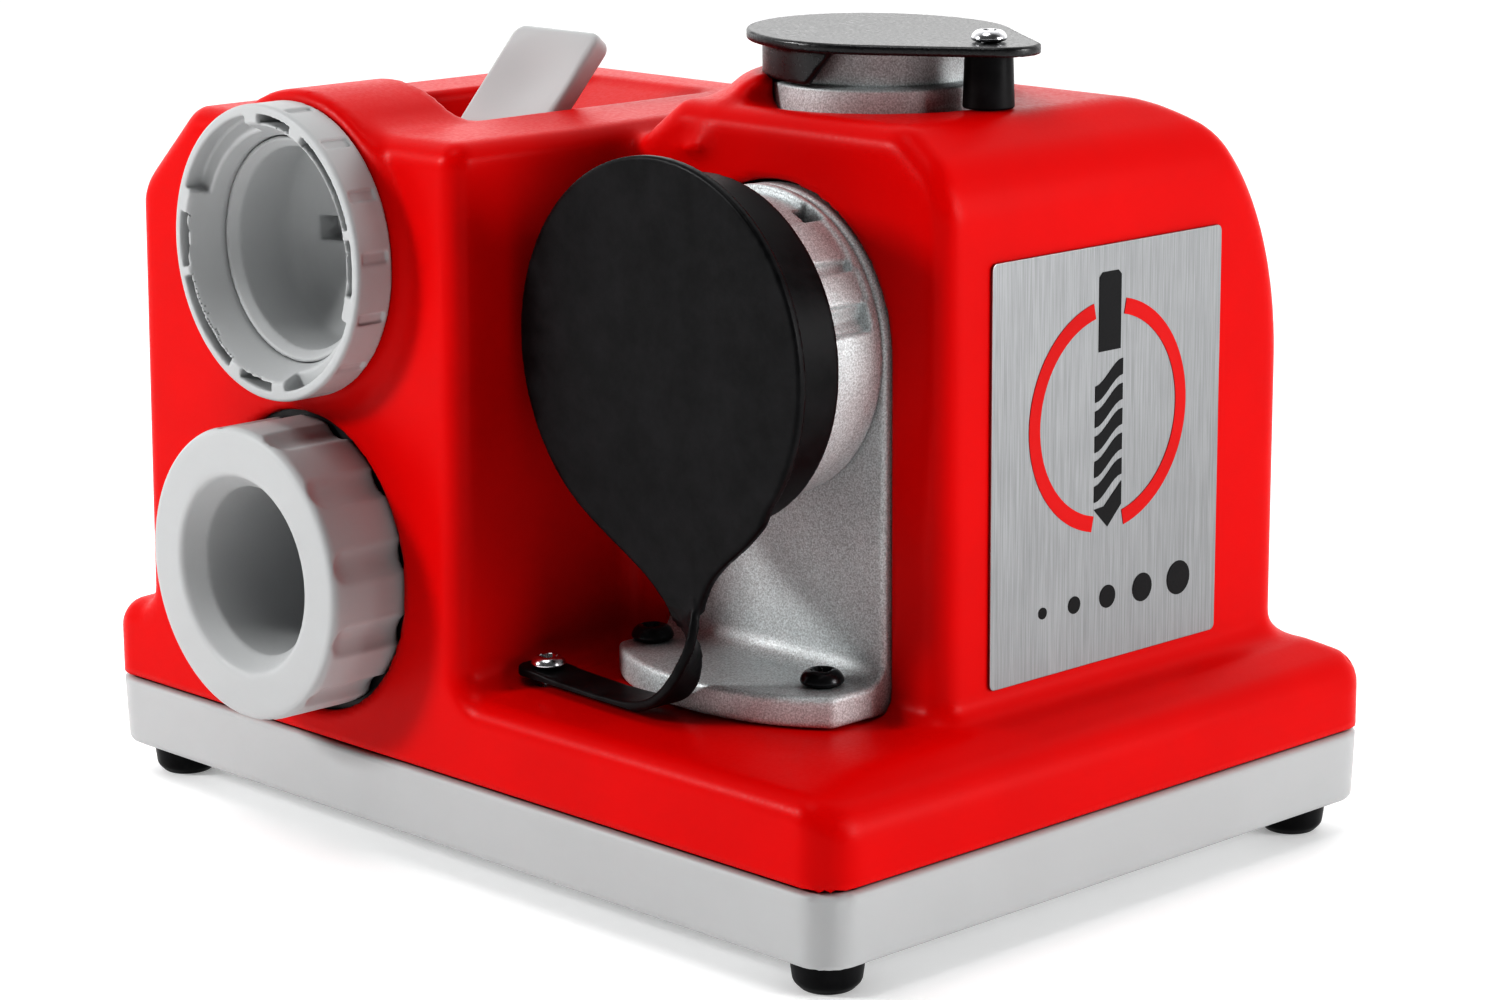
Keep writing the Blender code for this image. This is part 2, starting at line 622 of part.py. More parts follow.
def chuck_socket(material, frame):
    wall = -COVER_WALL - GAP
    bore = CHUCK_RADIUS + RUNNING
    outline = [(0, -45), (bore + 2.4, -45), (bore + 2.4, wall - 2.4), (GRIP_RADIUS + 3.5, wall - 2.4),
               (GRIP_RADIUS + 3.5, wall), (bore, wall), (bore, -42), (0, -42)]
    at = (CHUCK_X, FRONT_Y, CHUCK_Z)
    return solid("chuck_socket", turned(outline, 36), material, frame, at, FORWARD)


def chuck_grip(material, frame):
    """The fluted nut that closes the collet on a bit."""
    flute_reach, flute_depth = 6.5, 1.6
    outline = []
    for i in range(GRIP_FLUTES * 4):
        angle = 360 / (GRIP_FLUTES * 4) * i
        off = (angle - 15) % (360 / GRIP_FLUTES)
        off = min(off, 360 / GRIP_FLUTES - off)
        dip = flute_depth * max(0.0, math.cos(off / flute_reach * math.pi / 2)) if off < flute_reach else 0.0
        reach = GRIP_RADIUS - dip
        outline.append((reach * math.cos(math.radians(angle)), reach * math.sin(math.radians(angle))))
    at = (CHUCK_X, FRONT_Y, CHUCK_Z)
    grip = solid("chuck_grip", prism(outline, GRIP_BACK, GRIP_FRONT), material, frame, at, FORWARD)
    seat = CHUCK_RADIUS + RUNNING
    bore = [(0, GRIP_BACK - 5), (seat, GRIP_BACK - 5), (seat, 2), (GRIP_BORE, 2), (GRIP_BORE, 13),
            (23.2, GRIP_FRONT), (23.2, GRIP_FRONT + 5), (0, GRIP_FRONT + 5)]
    cut(grip, turned(bore, 36), at, FORWARD)
    join(grip, tube(GRIP_BORE, GRIP_BORE + SLEEVE_WALL, SLEEVE_END, 3, 36), at, FORWARD)
    return grip


def chuck_body(material, frame):
    low = -CHUCK_LENGTH - 1.5
    inner = GRIP_BORE + SLEEVE_WALL + RUNNING
    outline = [(17.2, low), (CHUCK_RADIUS, low), (CHUCK_RADIUS, 1.7), (inner, 1.7),
               (inner, SLEEVE_END - GAP), (19.4, SLEEVE_END - GAP)]
    return solid("chuck_body", turned(outline, 36), material, frame, (CHUCK_X, FRONT_Y, CHUCK_Z), FORWARD)


def collet(material, frame):
    low = -CHUCK_LENGTH - 1
    outline = [(8, low), (16.95, low), (19.05, SLEEVE_END - 1), (6.5, SLEEVE_END - 1), (6.5, low + 5)]
    at = (CHUCK_X, FRONT_Y, CHUCK_Z)
    jaws = solid("collet", turned(outline, 36), material, frame, at, FORWARD)
    for i in range(3):
        spin = (math.radians(90), math.radians(60 * i), 0)
        cut(jaws, prism(rectangle(-22, 22, -0.7, 0.7), low + 6, 5), at, spin)
    return jaws


# ---------------------------------------------------------------- switch


def switch_paddle(material, frame):
    """The paddle, seen from its side: a dished blade above a hub that turns on its pin."""
    lean = math.radians(48)
    along = Vector((math.cos(lean), math.sin(lean)))
    out = Vector((-along.y, along.x))
    foot = Vector((-1.5, -1.0))

    def at(distance, height):
        spot = foot + along * distance + out * height
        return (spot.x, spot.y)

    thick = PADDLE_THICKNESS
    outline = [at(-2.5, 0), at(28, -1.2), at(29.3, 0.6), at(28.8, thick - 0.6), at(26, thick + 0.2),
               at(18, thick - 1.0), at(9, thick - 1.0), at(1, thick + 0.3), at(-2.8, thick - 0.9)]
    width = (PADDLE_RIGHT - PADDLE_LEFT) / 2
    centre = ((PADDLE_LEFT + PADDLE_RIGHT) / 2, PADDLE_PIN_Y, PADDLE_PIN_Z)
    paddle = solid("switch_paddle", prism(outline, -width, width), material, frame, centre, SIDEWAYS)
    join(paddle, rod(4.2, -width + 3, width - 3, 16), centre, SIDEWAYS)
    stem = rectangle(-1.8, 1.8, -13, 0)
    join(paddle, prism(stem, -5, 5), centre, SIDEWAYS)
    cut(paddle, rod(1.5 + RUNNING, -width - 2, width + 2, 12), centre, SIDEWAYS)
    return paddle


def switch_module(plastic, steel, frame):
    """The switch under the well: a case with a trough for the paddle's stem, and the pin's ears."""
    centre_x = (PADDLE_LEFT + PADDLE_RIGHT) / 2
    pin = rod(1.5, PADDLE_LEFT - centre_x - 3.4, PADDLE_RIGHT - centre_x + 1.4, 12)
    solid("paddle_pin", pin, steel, frame, (centre_x, PADDLE_PIN_Y, PADDLE_PIN_Z), SIDEWAYS)
    case = rectangle(PADDLE_LEFT + 3, PADDLE_RIGHT - 3, PADDLE_PIN_Y - 11, PADDLE_PIN_Y + 11, 2, 2)
    module = solid("switch_module", prism(case, 137.5, 153.4), plastic, frame)
    trough = rectangle(centre_x - 7, centre_x + 7, PADDLE_PIN_Y - 7, PADDLE_PIN_Y + 7)
    cut(module, prism(trough, 144, 160))
    return module


# ---------------------------------------------------------------- motor and wheel


def along_shaft(name, mesh, material, frame):
    return solid(name, mesh, material, frame, (0, MOTOR_Y, MOTOR_Z), RIGHTWARD)


def motor_case(steel, frame):
    inner = MOTOR_RADIUS - 1.6
    along_shaft("motor_can", tube(inner, MOTOR_RADIUS, MOTOR_LEFT, MOTOR_RIGHT, 36), steel, frame)
    seat = 8.1
    for name, end, way in (("rear_end_bell", MOTOR_LEFT, -1), ("front_end_bell", MOTOR_RIGHT, 1)):
        profile = [(5.2, 6.4), (11, 6.4), (11, 3.3), (MOTOR_RADIUS, 3.3), (MOTOR_RADIUS, GAP), (seat, GAP),
                   (seat, 5), (5.2, 5)]
        outline = [(radius, end + way * out) for radius, out in profile]
        along_shaft(name, turned(outline, 24), steel, frame)


def bearings(steel, frame):
    for name, low in (("rear_bearing", MOTOR_LEFT - 4.7), ("front_bearing", MOTOR_RIGHT + 0.4)):
        along_shaft(name, tube(SHAFT_RADIUS + 0.06, 7.8, low, low + 4.3, 24), steel, frame)


def magnets(material, frame):
    inner, outer = 17.0, MOTOR_RADIUS - 1.6 - GAP
    for number, middle in enumerate((0, 180), 1):
        outline = arc(0, 0, outer, middle - 66, middle + 66, 12)
        outline += arc(0, 0, inner, middle + 66, middle - 66, 12)
        along_shaft(f"magnet_{number}", prism(outline, -32, 14), material, frame)


def rotor(shaft_steel, core_steel, copper, plastic, frame):
    along_shaft("rotor_shaft", rod(SHAFT_RADIUS, MOTOR_LEFT - 8, 74, 24), shaft_steel, frame)
    bore = SHAFT_RADIUS + GAP
    teeth = []
    for i in range(10):
        for offset, radius in ((-13, 15.8), (0, 15.8), (13, 15.8), (16, 9.5), (20, 9.5)):
            angle = math.radians(36 * i + offset)
            teeth.append((radius * math.cos(angle), radius * math.sin(angle)))
    core = along_shaft("rotor_core", prism(teeth, -30, 12), core_steel, frame)
    cut(core, rod(bore, -60, 60, 16), (0, MOTOR_Y, MOTOR_Z), RIGHTWARD)
    along_shaft("commutator", tube(bore, 8.0, -50, -37, 20), copper, frame)
    blades = []
    for i in range(9):
        for offset, radius in ((0, 9), (4, 21), (12, 21), (14, 9)):
            angle = math.radians(40 * i + offset)
            blades.append((radius * math.cos(angle), radius * math.sin(angle)))
    fan = along_shaft("cooling_fan", prism(blades, 16, 23), plastic, frame)
    cut(fan, rod(bore, 0, 40, 16), (0, MOTOR_Y, MOTOR_Z), RIGHTWARD)


def brushes(carbon, brass, frame):
    card = tube(11, MOTOR_RADIUS - 1.6 - GAP, -56, -53.5, 24)
    along_shaft("brush_card", card, brass, frame)
    for number, (low, high) in enumerate(((8.4, 16), (-16, -8.4)), 1):
        brush = prism(rectangle(low, high, -2.6, 2.6), -53.2, -46)
        along_shaft(f"carbon_brush_{number}", brush, carbon, frame)


def motor_mounts(plastic, frame):
    """Two saddles that stand on the tray and hold the motor."""
    floor = TRAY_LOW + TRAY_FLOOR + 2.4
    saddle = [(x, y) for x, y in arc(MOTOR_Y, MOTOR_Z, MOTOR_RADIUS + GAP, 200, 340, 20)]
    left, right = saddle[0][0] - 5, saddle[-1][0] + 5
    rim = saddle[0][1]
    outline = saddle + [(right, rim), (right, floor), (left, floor), (left, rim)]
    for number, middle in enumerate((-48, 8), 1):
        solid(f"motor_mount_{number}", prism(outline, middle - 3, middle + 3), plastic, frame, turn=SIDEWAYS)


def grinding_wheel(stone, steel, frame):
    bore = SHAFT_RADIUS + GAP
    middle = PORT_X
    half = WHEEL_WIDTH / 2
    outline = [(bore, middle - half), (WHEEL_RADIUS - 1.5, middle - half),
               (WHEEL_RADIUS, middle - half + 1.5), (WHEEL_RADIUS, middle + half - 1.5),
               (WHEEL_RADIUS - 1.5, middle + half), (bore, middle + half)]
    along_shaft("grinding_wheel", turned(outline, 36), stone, frame)
    low = middle - half - GAP
    high = middle + half + GAP
    inner = [(bore, low - 9), (7, low - 9), (7, low - 2.4), (13, low - 2.4), (13, low), (bore, low)]
    along_shaft("wheel_inner_flange", turned(inner, 20), steel, frame)
    along_shaft("wheel_outer_flange", tube(bore, 13, high, high + 2.4, 20), steel, frame)
    nut = along_shaft("wheel_nut", prism(circle(0, 0, 7.5, 6), high + 2.7, high + 8.2), steel, frame)
    cut(nut, rod(bore, 50, 90, 16), (0, MOTOR_Y, MOTOR_Z), RIGHTWARD)


def electronics(board, can, frame):
    """The supply board on the tray's floor, with its smoothing capacitor."""
    floor = TRAY_LOW + TRAY_FLOOR + 3
    outline = rectangle(-100, -72, -40, 20, 1, 1)
    solid("supply_board", prism(outline, floor, floor + 1.6), board, frame)
    solid("capacitor", rod(7, floor + 1.9, floor + 24, 16), can, frame, (-86, -22, 0))


# ---------------------------------------------------------------- assembly


def main():
    for old in list(bpy.data.objects):
        bpy.data.objects.remove(old)
    frame = bpy.data.objects.new("machine_frame", None)
    frame.location = (0, FRAME_SHIFT_Y * MM, 0)
    bpy.context.scene.collection.objects.link(frame)

    red = finish("red_plastic", (0.72, 0.004, 0.004), 0.36)
    grey = finish("grey_plastic", (0.56, 0.56, 0.57), 0.5)
    rubber = finish("black_rubber", (0.012, 0.012, 0.013), 0.5)
    dark = finish("dark_plastic", (0.03, 0.03, 0.03), 0.5)
    cast = finish("cast_aluminium", (0.55, 0.55, 0.56), 0.42, 1)
    steel = finish("zinc_steel", (0.68, 0.68, 0.7), 0.28, 1)
    black_steel = finish("black_steel", (0.015, 0.015, 0.016), 0.35, 0.6)
    plate = finish("brushed_plate", (0.5, 0.52, 0.53), 0.35, 1)
    laminations = finish("laminated_steel", (0.3, 0.3, 0.32), 0.45, 1)
    copper = finish("copper", (0.8, 0.36, 0.2), 0.3, 1)
    brass = finish("brass", (0.75, 0.55, 0.22), 0.35, 1)
    carbon = finish("carbon", (0.03, 0.03, 0.035), 0.7)
    ferrite = finish("ferrite", (0.05, 0.05, 0.055), 0.6)
    stone = finish("abrasive", (0.62, 0.6, 0.56), 0.9)
    board = finish("circuit_board", (0.02, 0.16, 0.06), 0.5)

    base_tray(grey, frame)
    feet(rubber, steel, frame)
    housing_cover(red, frame)
    label_plate(plate, frame)
    cord_gland(dark, frame)

    front_port_bracket(cast, frame)
    bracket_screws(black_steel, frame)
    front_port_ring(cast, frame)
    front_cap(rubber, frame)
    front_cap_strap(rubber, frame)
    strap_screw(steel, frame)

    top_port_ring(cast, frame)
    top_cap(rubber, frame)
    top_cap_tail(rubber, frame)
    cap_post(rubber, steel, frame)

    setting_dial(grey, frame)
    setting_socket(grey, frame)
    chuck_socket(dark, frame)
    chuck_grip(grey, frame)
    chuck_body(steel, frame)
    collet(steel, frame)

    switch_paddle(grey, frame)
    switch_module(dark, steel, frame)

    motor_case(steel, frame)
    bearings(steel, frame)
    magnets(ferrite, frame)
    rotor(steel, laminations, copper, dark, frame)
    brushes(carbon, brass, frame)
    motor_mounts(dark, frame)
    grinding_wheel(stone, steel, frame)
    electronics(board, dark, frame)


main()
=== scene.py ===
"""The looks of a bench drill bit sharpener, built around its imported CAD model.

Shapes are worked out in the machine's own millimetres: x to its right, y to its back, z up, with the origin
under the middle of the tray. `placed` takes a point from there to the shared frame.
Moulded and cast pieces are signed distance fields, so that every edge and corner has its real radius.
"""
import json
import math

import bmesh
import bpy
import numpy as np
from mathutils import Matrix, Vector


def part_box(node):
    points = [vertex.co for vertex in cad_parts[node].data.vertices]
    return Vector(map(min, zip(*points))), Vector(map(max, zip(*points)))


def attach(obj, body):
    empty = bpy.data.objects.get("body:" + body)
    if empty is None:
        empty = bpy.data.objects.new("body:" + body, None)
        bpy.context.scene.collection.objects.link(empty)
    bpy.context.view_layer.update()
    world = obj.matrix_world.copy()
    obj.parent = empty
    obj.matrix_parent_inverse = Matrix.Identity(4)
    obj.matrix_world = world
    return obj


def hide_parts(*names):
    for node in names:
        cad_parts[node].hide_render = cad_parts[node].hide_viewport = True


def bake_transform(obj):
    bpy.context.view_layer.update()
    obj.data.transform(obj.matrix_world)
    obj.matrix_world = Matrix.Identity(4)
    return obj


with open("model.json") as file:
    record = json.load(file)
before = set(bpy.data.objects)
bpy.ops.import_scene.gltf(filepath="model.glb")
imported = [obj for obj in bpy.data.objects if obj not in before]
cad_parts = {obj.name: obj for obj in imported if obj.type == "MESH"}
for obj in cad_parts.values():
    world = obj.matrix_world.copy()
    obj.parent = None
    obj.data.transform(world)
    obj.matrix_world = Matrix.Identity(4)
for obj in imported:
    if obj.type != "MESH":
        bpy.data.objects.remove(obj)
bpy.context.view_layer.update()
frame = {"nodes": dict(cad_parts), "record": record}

MM = 0.001
TRAY_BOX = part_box("base_tray")
ORIGIN_Y = (TRAY_BOX[0].y + TRAY_BOX[1].y) / 2 / MM

# Places and sizes that several pieces share, in machine millimetres.
TRAY_LOW, TRAY_HIGH = 7.8, 24.8
HALF_X, HALF_Y = 125.0, 90.0
COVER_LOW, COVER_OUT = 25.1, 0.3
WALL = 3.0
LEDGE_Z = 46.5
SIDE_X, NICHE_X = 108.0, 9.5
FRONT_Y, NICHE_Y, BACK_Y = -90.0, -38.0, 76.0
LEFT_TOP, RIGHT_TOP = 168.0, 174.8
PORT_X, PORT_Z, PORT_ARCH = 57.5, 125.5, 34.0
TOP_X, TOP_Y = 53.0, -1.0
POST_X = 86.0
DIAL_X, DIAL_Z, DIAL_SLEEVE = -43.5, 139.8, 28.0
CHUCK_X, CHUCK_Z, CHUCK_RADIUS = -45.0, 66.7, 34.0
GLAND_X, GLAND_Z = -70.0, 64.0
PADDLE_X, PIN_Y, PIN_Z = -37.0, -31.0, 160.5
FOOT_X, FOOT_Y = 112.0, 77.0
BRACKET_SCREW_X, BRACKET_SCREW_Y, BRACKET_HOLE = (28.1, 82.1), -48.5, 2.9
STRAP_X, STRAP_Y, STRAP_Z = 18.0, -71.0, LEDGE_Z + 1.6
CAP_SCREW_HOLE = 2.2


# ------------------------------------------------------------ distance fields


def meet(a, b, radius=0.0):
    """What two shapes share, with the new edge rounded."""
    if not radius:
        return np.maximum(a, b)
    corner = np.hypot(np.maximum(a + radius, 0), np.maximum(b + radius, 0))
    return np.minimum(-radius, np.maximum(a, b)) + corner


def eased(a, b, width):
    """What two shapes share, with a blunt edge eased where they differ by less than the width."""
    blend = np.maximum(width - np.abs(a - b), 0) / width
    return np.maximum(a, b) + blend * blend * width / 4


def merge(a, b, radius=0.0):
    """Two shapes together, with a fillet where they join."""
    return -meet(-a, -b, radius)


def without(a, b, radius=0.0):
    """The first shape less the second, with the new edge rounded."""
    return meet(a, -b, radius)


def between(value, low, high):
    return np.maximum(low - value, value - high)


def plane(along, up, point, angle):
    """Beyond a line through a point of the (along, up) plane whose outward normal is at that angle."""
    turn = math.radians(angle)
    return (along - point[0]) * math.cos(turn) + (up - point[1]) * math.sin(turn)


def rounded_box(x, y, half_x, half_y, radius):
    qx, qy = np.abs(x) - half_x + radius, np.abs(y) - half_y + radius
    return np.hypot(np.maximum(qx, 0), np.maximum(qy, 0)) + np.minimum(np.maximum(qx, qy), 0) - radius


def sector(x, y, start, end):
    """Outside the wedge from start to end degrees, which is under half a turn."""
    first, last = math.radians(start), math.radians(end)
    return np.maximum(x * math.sin(first) - y * math.cos(first), y * math.cos(last) - x * math.sin(last))


def folded(x, y, count, first=0.0):
    """Coordinates out from the axis and round it, repeated count times from the angle first."""
    step = 2 * math.pi / count
    angle = np.arctan2(y, x) - math.radians(first)
    angle = np.mod(angle + step / 2, step) - step / 2
    reach = np.hypot(x, y)
    return reach * np.cos(angle), reach * np.sin(angle)


def outline_distance(points, u, v):
    """Signed distance to a closed outline in the (u, v) plane."""
    best, inside = None, None
    for i, (bu, bv) in enumerate(points):
        au, av = points[i - 1]
        eu, ev = bu - au, bv - av
        wu, wv = u - au, v - av
        share = np.clip((wu * eu + wv * ev) / (eu * eu + ev * ev), 0, 1)
        gap = (wu - eu * share) ** 2 + (wv - ev * share) ** 2
        best = gap if best is None else np.minimum(best, gap)
        if ev:
            flip = ((av > v) != (bv > v)) & (u < au + (v - av) * eu / ev)
            inside = flip if inside is None else inside ^ flip
    return np.where(inside, -1, 1) * np.sqrt(best)


def arc(centre_x, centre_y, radius, start, end, steps):
    turns = [math.radians(start + (end - start) * i / steps) for i in range(steps + 1)]
    return [(centre_x + radius * math.cos(a), centre_y + radius * math.sin(a)) for a in turns]


def through(keys, count):
    """Points along the smooth curve through the keys."""
    keys = np.array(keys, float)
    spots = np.linspace(0, len(keys) - 1, count)
    row = np.minimum(spots.astype(int), len(keys) - 2)
    t = (spots - row)[:, None]
    before, after = keys[np.maximum(row - 1, 0)], keys[np.minimum(row + 2, len(keys) - 1)]
    here, there = keys[row], keys[row + 1]
    return 0.5 * (2 * here + (there - before) * t + (2 * before - 5 * here + 4 * there - after) * t ** 2
                  + (3 * here - before - 3 * there + after) * t ** 3)


# ------------------------------------------------------------ meshes


def net(field, low, high, cell):
    """The quads of a field's surface, one point in each cell that it crosses."""
    low = np.array(low, float)
    counts = np.ceil((np.array(high, float) - low) / cell).astype(int) + 1
    axes = [low[k] + cell * np.arange(counts[k]) for k in range(3)]
    values = np.array(np.broadcast_to(field(*np.meshgrid(*axes, indexing="ij", sparse=True)), counts))
    inside = values < 0
    corners = [(i, j, k) for i in (0, 1) for j in (0, 1) for k in (0, 1)]

    def shifted(grid, corner):
        return grid[tuple(slice(c, n - 1 + c) for c, n in zip(corner, counts))]

    filled = sum(shifted(inside, c).astype(np.int8) for c in corners)
    active = (filled > 0) & (filled < 8)
    cells = np.argwhere(active)
    index = np.full(active.shape, -1)
    index[active] = np.arange(len(cells))
    total, hits = np.zeros((len(cells), 3)), np.zeros(len(cells))
    for start in corners:
        for axis in range(3):
            if start[axis]:
                continue
            end = tuple(1 if k == axis else start[k] for k in range(3))
            a, b = (values[tuple((cells + c).T)] for c in (start, end))
            crossed = (a < 0) != (b < 0)
            spot = np.tile(np.array(start, float), (crossed.sum(), 1))
            spot[:, axis] += a[crossed] / (a[crossed] - b[crossed])
            total[crossed] += spot
            hits[crossed] += 1
    points = low + cell * (cells + total / hits[:, None])
    quads = []
    for axis in range(3):
        u, v = (axis + 1) % 3, (axis + 2) % 3
        near = [slice(1, n - 1) for n in counts]
        far = list(near)
        near[axis], far[axis] = slice(0, counts[axis] - 1), slice(1, counts[axis])
        a, b = inside[tuple(near)], inside[tuple(far)]
        for solid_first in (True, False):
            here = np.argwhere((a != b) & (a == solid_first))
            here[:, u] += 1
            here[:, v] += 1
            ring = []
            for du, dv in ((0, 0), (1, 0), (1, 1), (0, 1)):
                step = np.zeros(3, int)
                step[u], step[v] = du, dv
                ring.append(index[tuple((here - step).T)])
            quads.append(np.stack(ring if solid_first else ring[::-1], 1))
    return settled(points, field, cell), np.concatenate(quads)


def settled(points, field, cell, rounds=3, probe=0.02):
    """Points drawn onto the field's surface."""
    for _ in range(rounds):
        value = field(*points.T)
        slope = np.zeros_like(points)
        for axis in range(3):
            step = np.zeros(3)
            step[axis] = probe
            slope[:, axis] = (field(*(points + step).T) - field(*(points - step).T)) / (2 * probe)
        steep = np.maximum((slope ** 2).sum(1), 0.3)
        move = np.clip(value / steep, -cell / 2, cell / 2)
        points = points - move[:, None] * slope
    return points


def placed(points):
    """Machine millimetres as metres of the shared frame."""
    return ((np.asarray(points, float) + (0, ORIGIN_Y, 0)) * MM).tolist()


def put(name, points, faces, material, body, replaces=(), crease=None):
    """A finished mesh as a piece that rides on its body, if it has just one."""
    mesh = bpy.data.meshes.new(name)
    mesh.from_pydata(placed(points), [], faces.tolist() if isinstance(faces, np.ndarray) else faces)
    mesh.validate()
    mesh.shade_smooth()
    piece = bpy.data.objects.new(name, mesh)
    bpy.context.scene.collection.objects.link(piece)
    if crease:
        mesh.set_sharp_from_angle(angle=math.radians(crease))
        even = piece.modifiers.new("even_normals", "WEIGHTED_NORMAL")
        even.keep_sharp = True
    mesh.materials.append(material)
    if body:
        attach(piece, body)
    if replaces:
        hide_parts(*replaces)
    return piece


def lathe(profile, steps=96):
    """Quads of a profile of (radius, height) turned about Z."""
    points, faces = [], []
    for radius, height in profile:
        for i in range(steps):
            turn = 2 * math.pi * i / steps
            points.append((radius * math.cos(turn), radius * math.sin(turn), height))
    for row in range(len(profile) - 1):
        for i in range(steps):
            j = (i + 1) % steps
            low, high = row * steps, (row + 1) * steps
            faces.append((low + i, low + j, high + j, high + i))
    return np.array(points), faces


def welded(points, faces):
    """The mesh with its doubled points joined and its faces turned outwards."""
    mesh = bmesh.new()
    corners = [mesh.verts.new(p) for p in points]
    for face in faces:
        mesh.faces.new([corners[i] for i in face])
    bmesh.ops.remove_doubles(mesh, verts=mesh.verts, dist=1e-4)
    bmesh.ops.dissolve_degenerate(mesh, edges=mesh.edges, dist=1e-5)
    bmesh.ops.recalc_face_normals(mesh, faces=mesh.faces)
    mesh.verts.index_update()
    points = np.array([v.co for v in mesh.verts])
    faces = [[v.index for v in f.verts] for f in mesh.faces]
    mesh.free()
    return points, faces


def softened(corners, steps=5):
    """The closed outline through (u, v, radius) corners, each rounded to its radius."""
    outline = []
    for i, (u, v, radius) in enumerate(corners):
        if not radius:
            outline.append((u, v))
            continue
        here = Vector((u, v))
        back = (Vector(corners[i - 1][:2]) - here).normalized()
        ahead = (Vector(corners[(i + 1) % len(corners)][:2]) - here).normalized()
        half = back.angle(ahead) / 2
        centre = here + (back + ahead).normalized() * (radius / math.sin(half))
        first = here + back * (radius / math.tan(half)) - centre
        last = here + ahead * (radius / math.tan(half)) - centre
        start = math.degrees(math.atan2(first.y, first.x))
        sweep = (math.degrees(math.atan2(last.y, last.x)) - start + 180) % 360 - 180
        outline += arc(centre.x, centre.y, radius, start, start + sweep, steps)
    return outline


def prism(outline, low, high, bevel=0.0, steps=3):
    """An upright solid on an outline, its top and bottom edges rounded by shrinking rings."""
    centre = np.mean(outline, 0)
    flat = np.array(outline, float)
    ahead, back = np.roll(flat, -1, 0) - flat, flat - np.roll(flat, 1, 0)
    normal = np.stack([ahead[:, 1] + back[:, 1], -ahead[:, 0] - back[:, 0]], 1)
    normal /= np.maximum(np.linalg.norm(normal, axis=1), 1e-9)[:, None]
    if (normal * (flat - centre)).sum() < 0:
        normal = -normal
    rings = []
    for i in range(steps + 1 if bevel else 1):
        turn = math.pi / 2 * i / max(steps, 1)
        rings.append((bevel * (1 - math.sin(turn)), low + bevel * (1 - math.cos(turn)) if bevel else low))
    tops = [(inset, high - (height - low)) for inset, height in rings][::-1]
    points, faces, count = [], [], len(flat)
    for inset, height in rings + tops:
        points += [(x, y, height) for x, y in flat - normal * inset]
    rows = len(rings) + len(tops)
    for row in range(rows - 1):
        for i in range(count):
            j = (i + 1) % count
            faces.append((row * count + i, row * count + j, (row + 1) * count + j, (row + 1) * count + i))
    faces.append(tuple(range(count))[::-1])
    faces.append(tuple(range((rows - 1) * count, rows * count)))
    return np.array(points), faces


def forward(points, x, y, z):
    """Points drawn about +Z, turned to face the machine's front at a place."""
    return np.stack([points[:, 0] + x, y - points[:, 2], points[:, 1] + z], 1)


# ------------------------------------------------------------ materials


def surface(name, colour, roughness, metallic=0.0, specular=0.5):
    material = bpy.data.materials.new(name)
    material.use_nodes = True
    tree = material.node_tree
    shader = tree.nodes["Principled BSDF"]
    shader.inputs["Base Color"].default_value = (*colour, 1)
    shader.inputs["Roughness"].default_value = roughness
    shader.inputs["Metallic"].default_value = metallic
    shader.inputs["Specular IOR Level"].default_value = specular
    return material, tree, shader


def noise(tree, size_mm, detail=3.0, stretch=(1, 1, 1), roughness=0.55):
    """A noise node over object space whose features are about size_mm across."""
    place = tree.nodes.new("ShaderNodeTexCoord")
    scale = tree.nodes.new("ShaderNodeMapping")
    scale.inputs["Scale"].default_value = stretch
    texture = tree.nodes.new("ShaderNodeTexNoise")
    texture.inputs["Scale"].default_value = 1 / (size_mm * MM)
    texture.inputs["Detail"].default_value = detail
    texture.inputs["Roughness"].default_value = roughness
    tree.links.new(place.outputs["Object"], scale.inputs["Vector"])
    tree.links.new(scale.outputs["Vector"], texture.inputs["Vector"])
    return texture.outputs["Fac"]


def ramp(tree, value, low, high, start, end):
    """The value stretched so that low becomes start and high becomes end."""
    node = tree.nodes.new("ShaderNodeMapRange")
    for name, number in (("From Min", low), ("From Max", high), ("To Min", start), ("To Max", end)):
        node.inputs[name].default_value = number
    tree.links.new(value, node.inputs["Value"])
    return node.outputs["Result"]


def tint(tree, value, dark, light):
    mix = tree.nodes.new("ShaderNodeMix")
    mix.data_type = "RGBA"
    mix.inputs["A"].default_value = (*dark, 1)
    mix.inputs["B"].default_value = (*light, 1)
    tree.links.new(value, mix.inputs["Factor"])
    return mix.outputs["Result"]


def shades(tree, shader, share, colour, darker, lighter):
    """The base colour, from darker to lighter times the plain one as the share goes from 0 to 1."""
    dark, light = (tuple(min(1, c * factor) for c in colour) for factor in (darker, lighter))
    tree.links.new(tint(tree, share, dark, light), shader.inputs["Base Color"])


def gloss(tree, shader, share, low, high):
    """The roughness, from low to high as the share goes from 0 to 1."""
    tree.links.new(ramp(tree, share, 0, 1, low, high), shader.inputs["Roughness"])


def bump(tree, shader, *layers):
    """Height layers of (value, depth in mm), one over another."""
    normal = None
    for value, depth in layers:
        node = tree.nodes.new("ShaderNodeBump")
        node.inputs["Strength"].default_value = 1.0
        node.inputs["Distance"].default_value = depth * MM
        tree.links.new(value, node.inputs["Height"])
        if normal:
            tree.links.new(normal, node.inputs["Normal"])
        normal = node.outputs["Normal"]
    tree.links.new(normal, shader.inputs["Normal"])


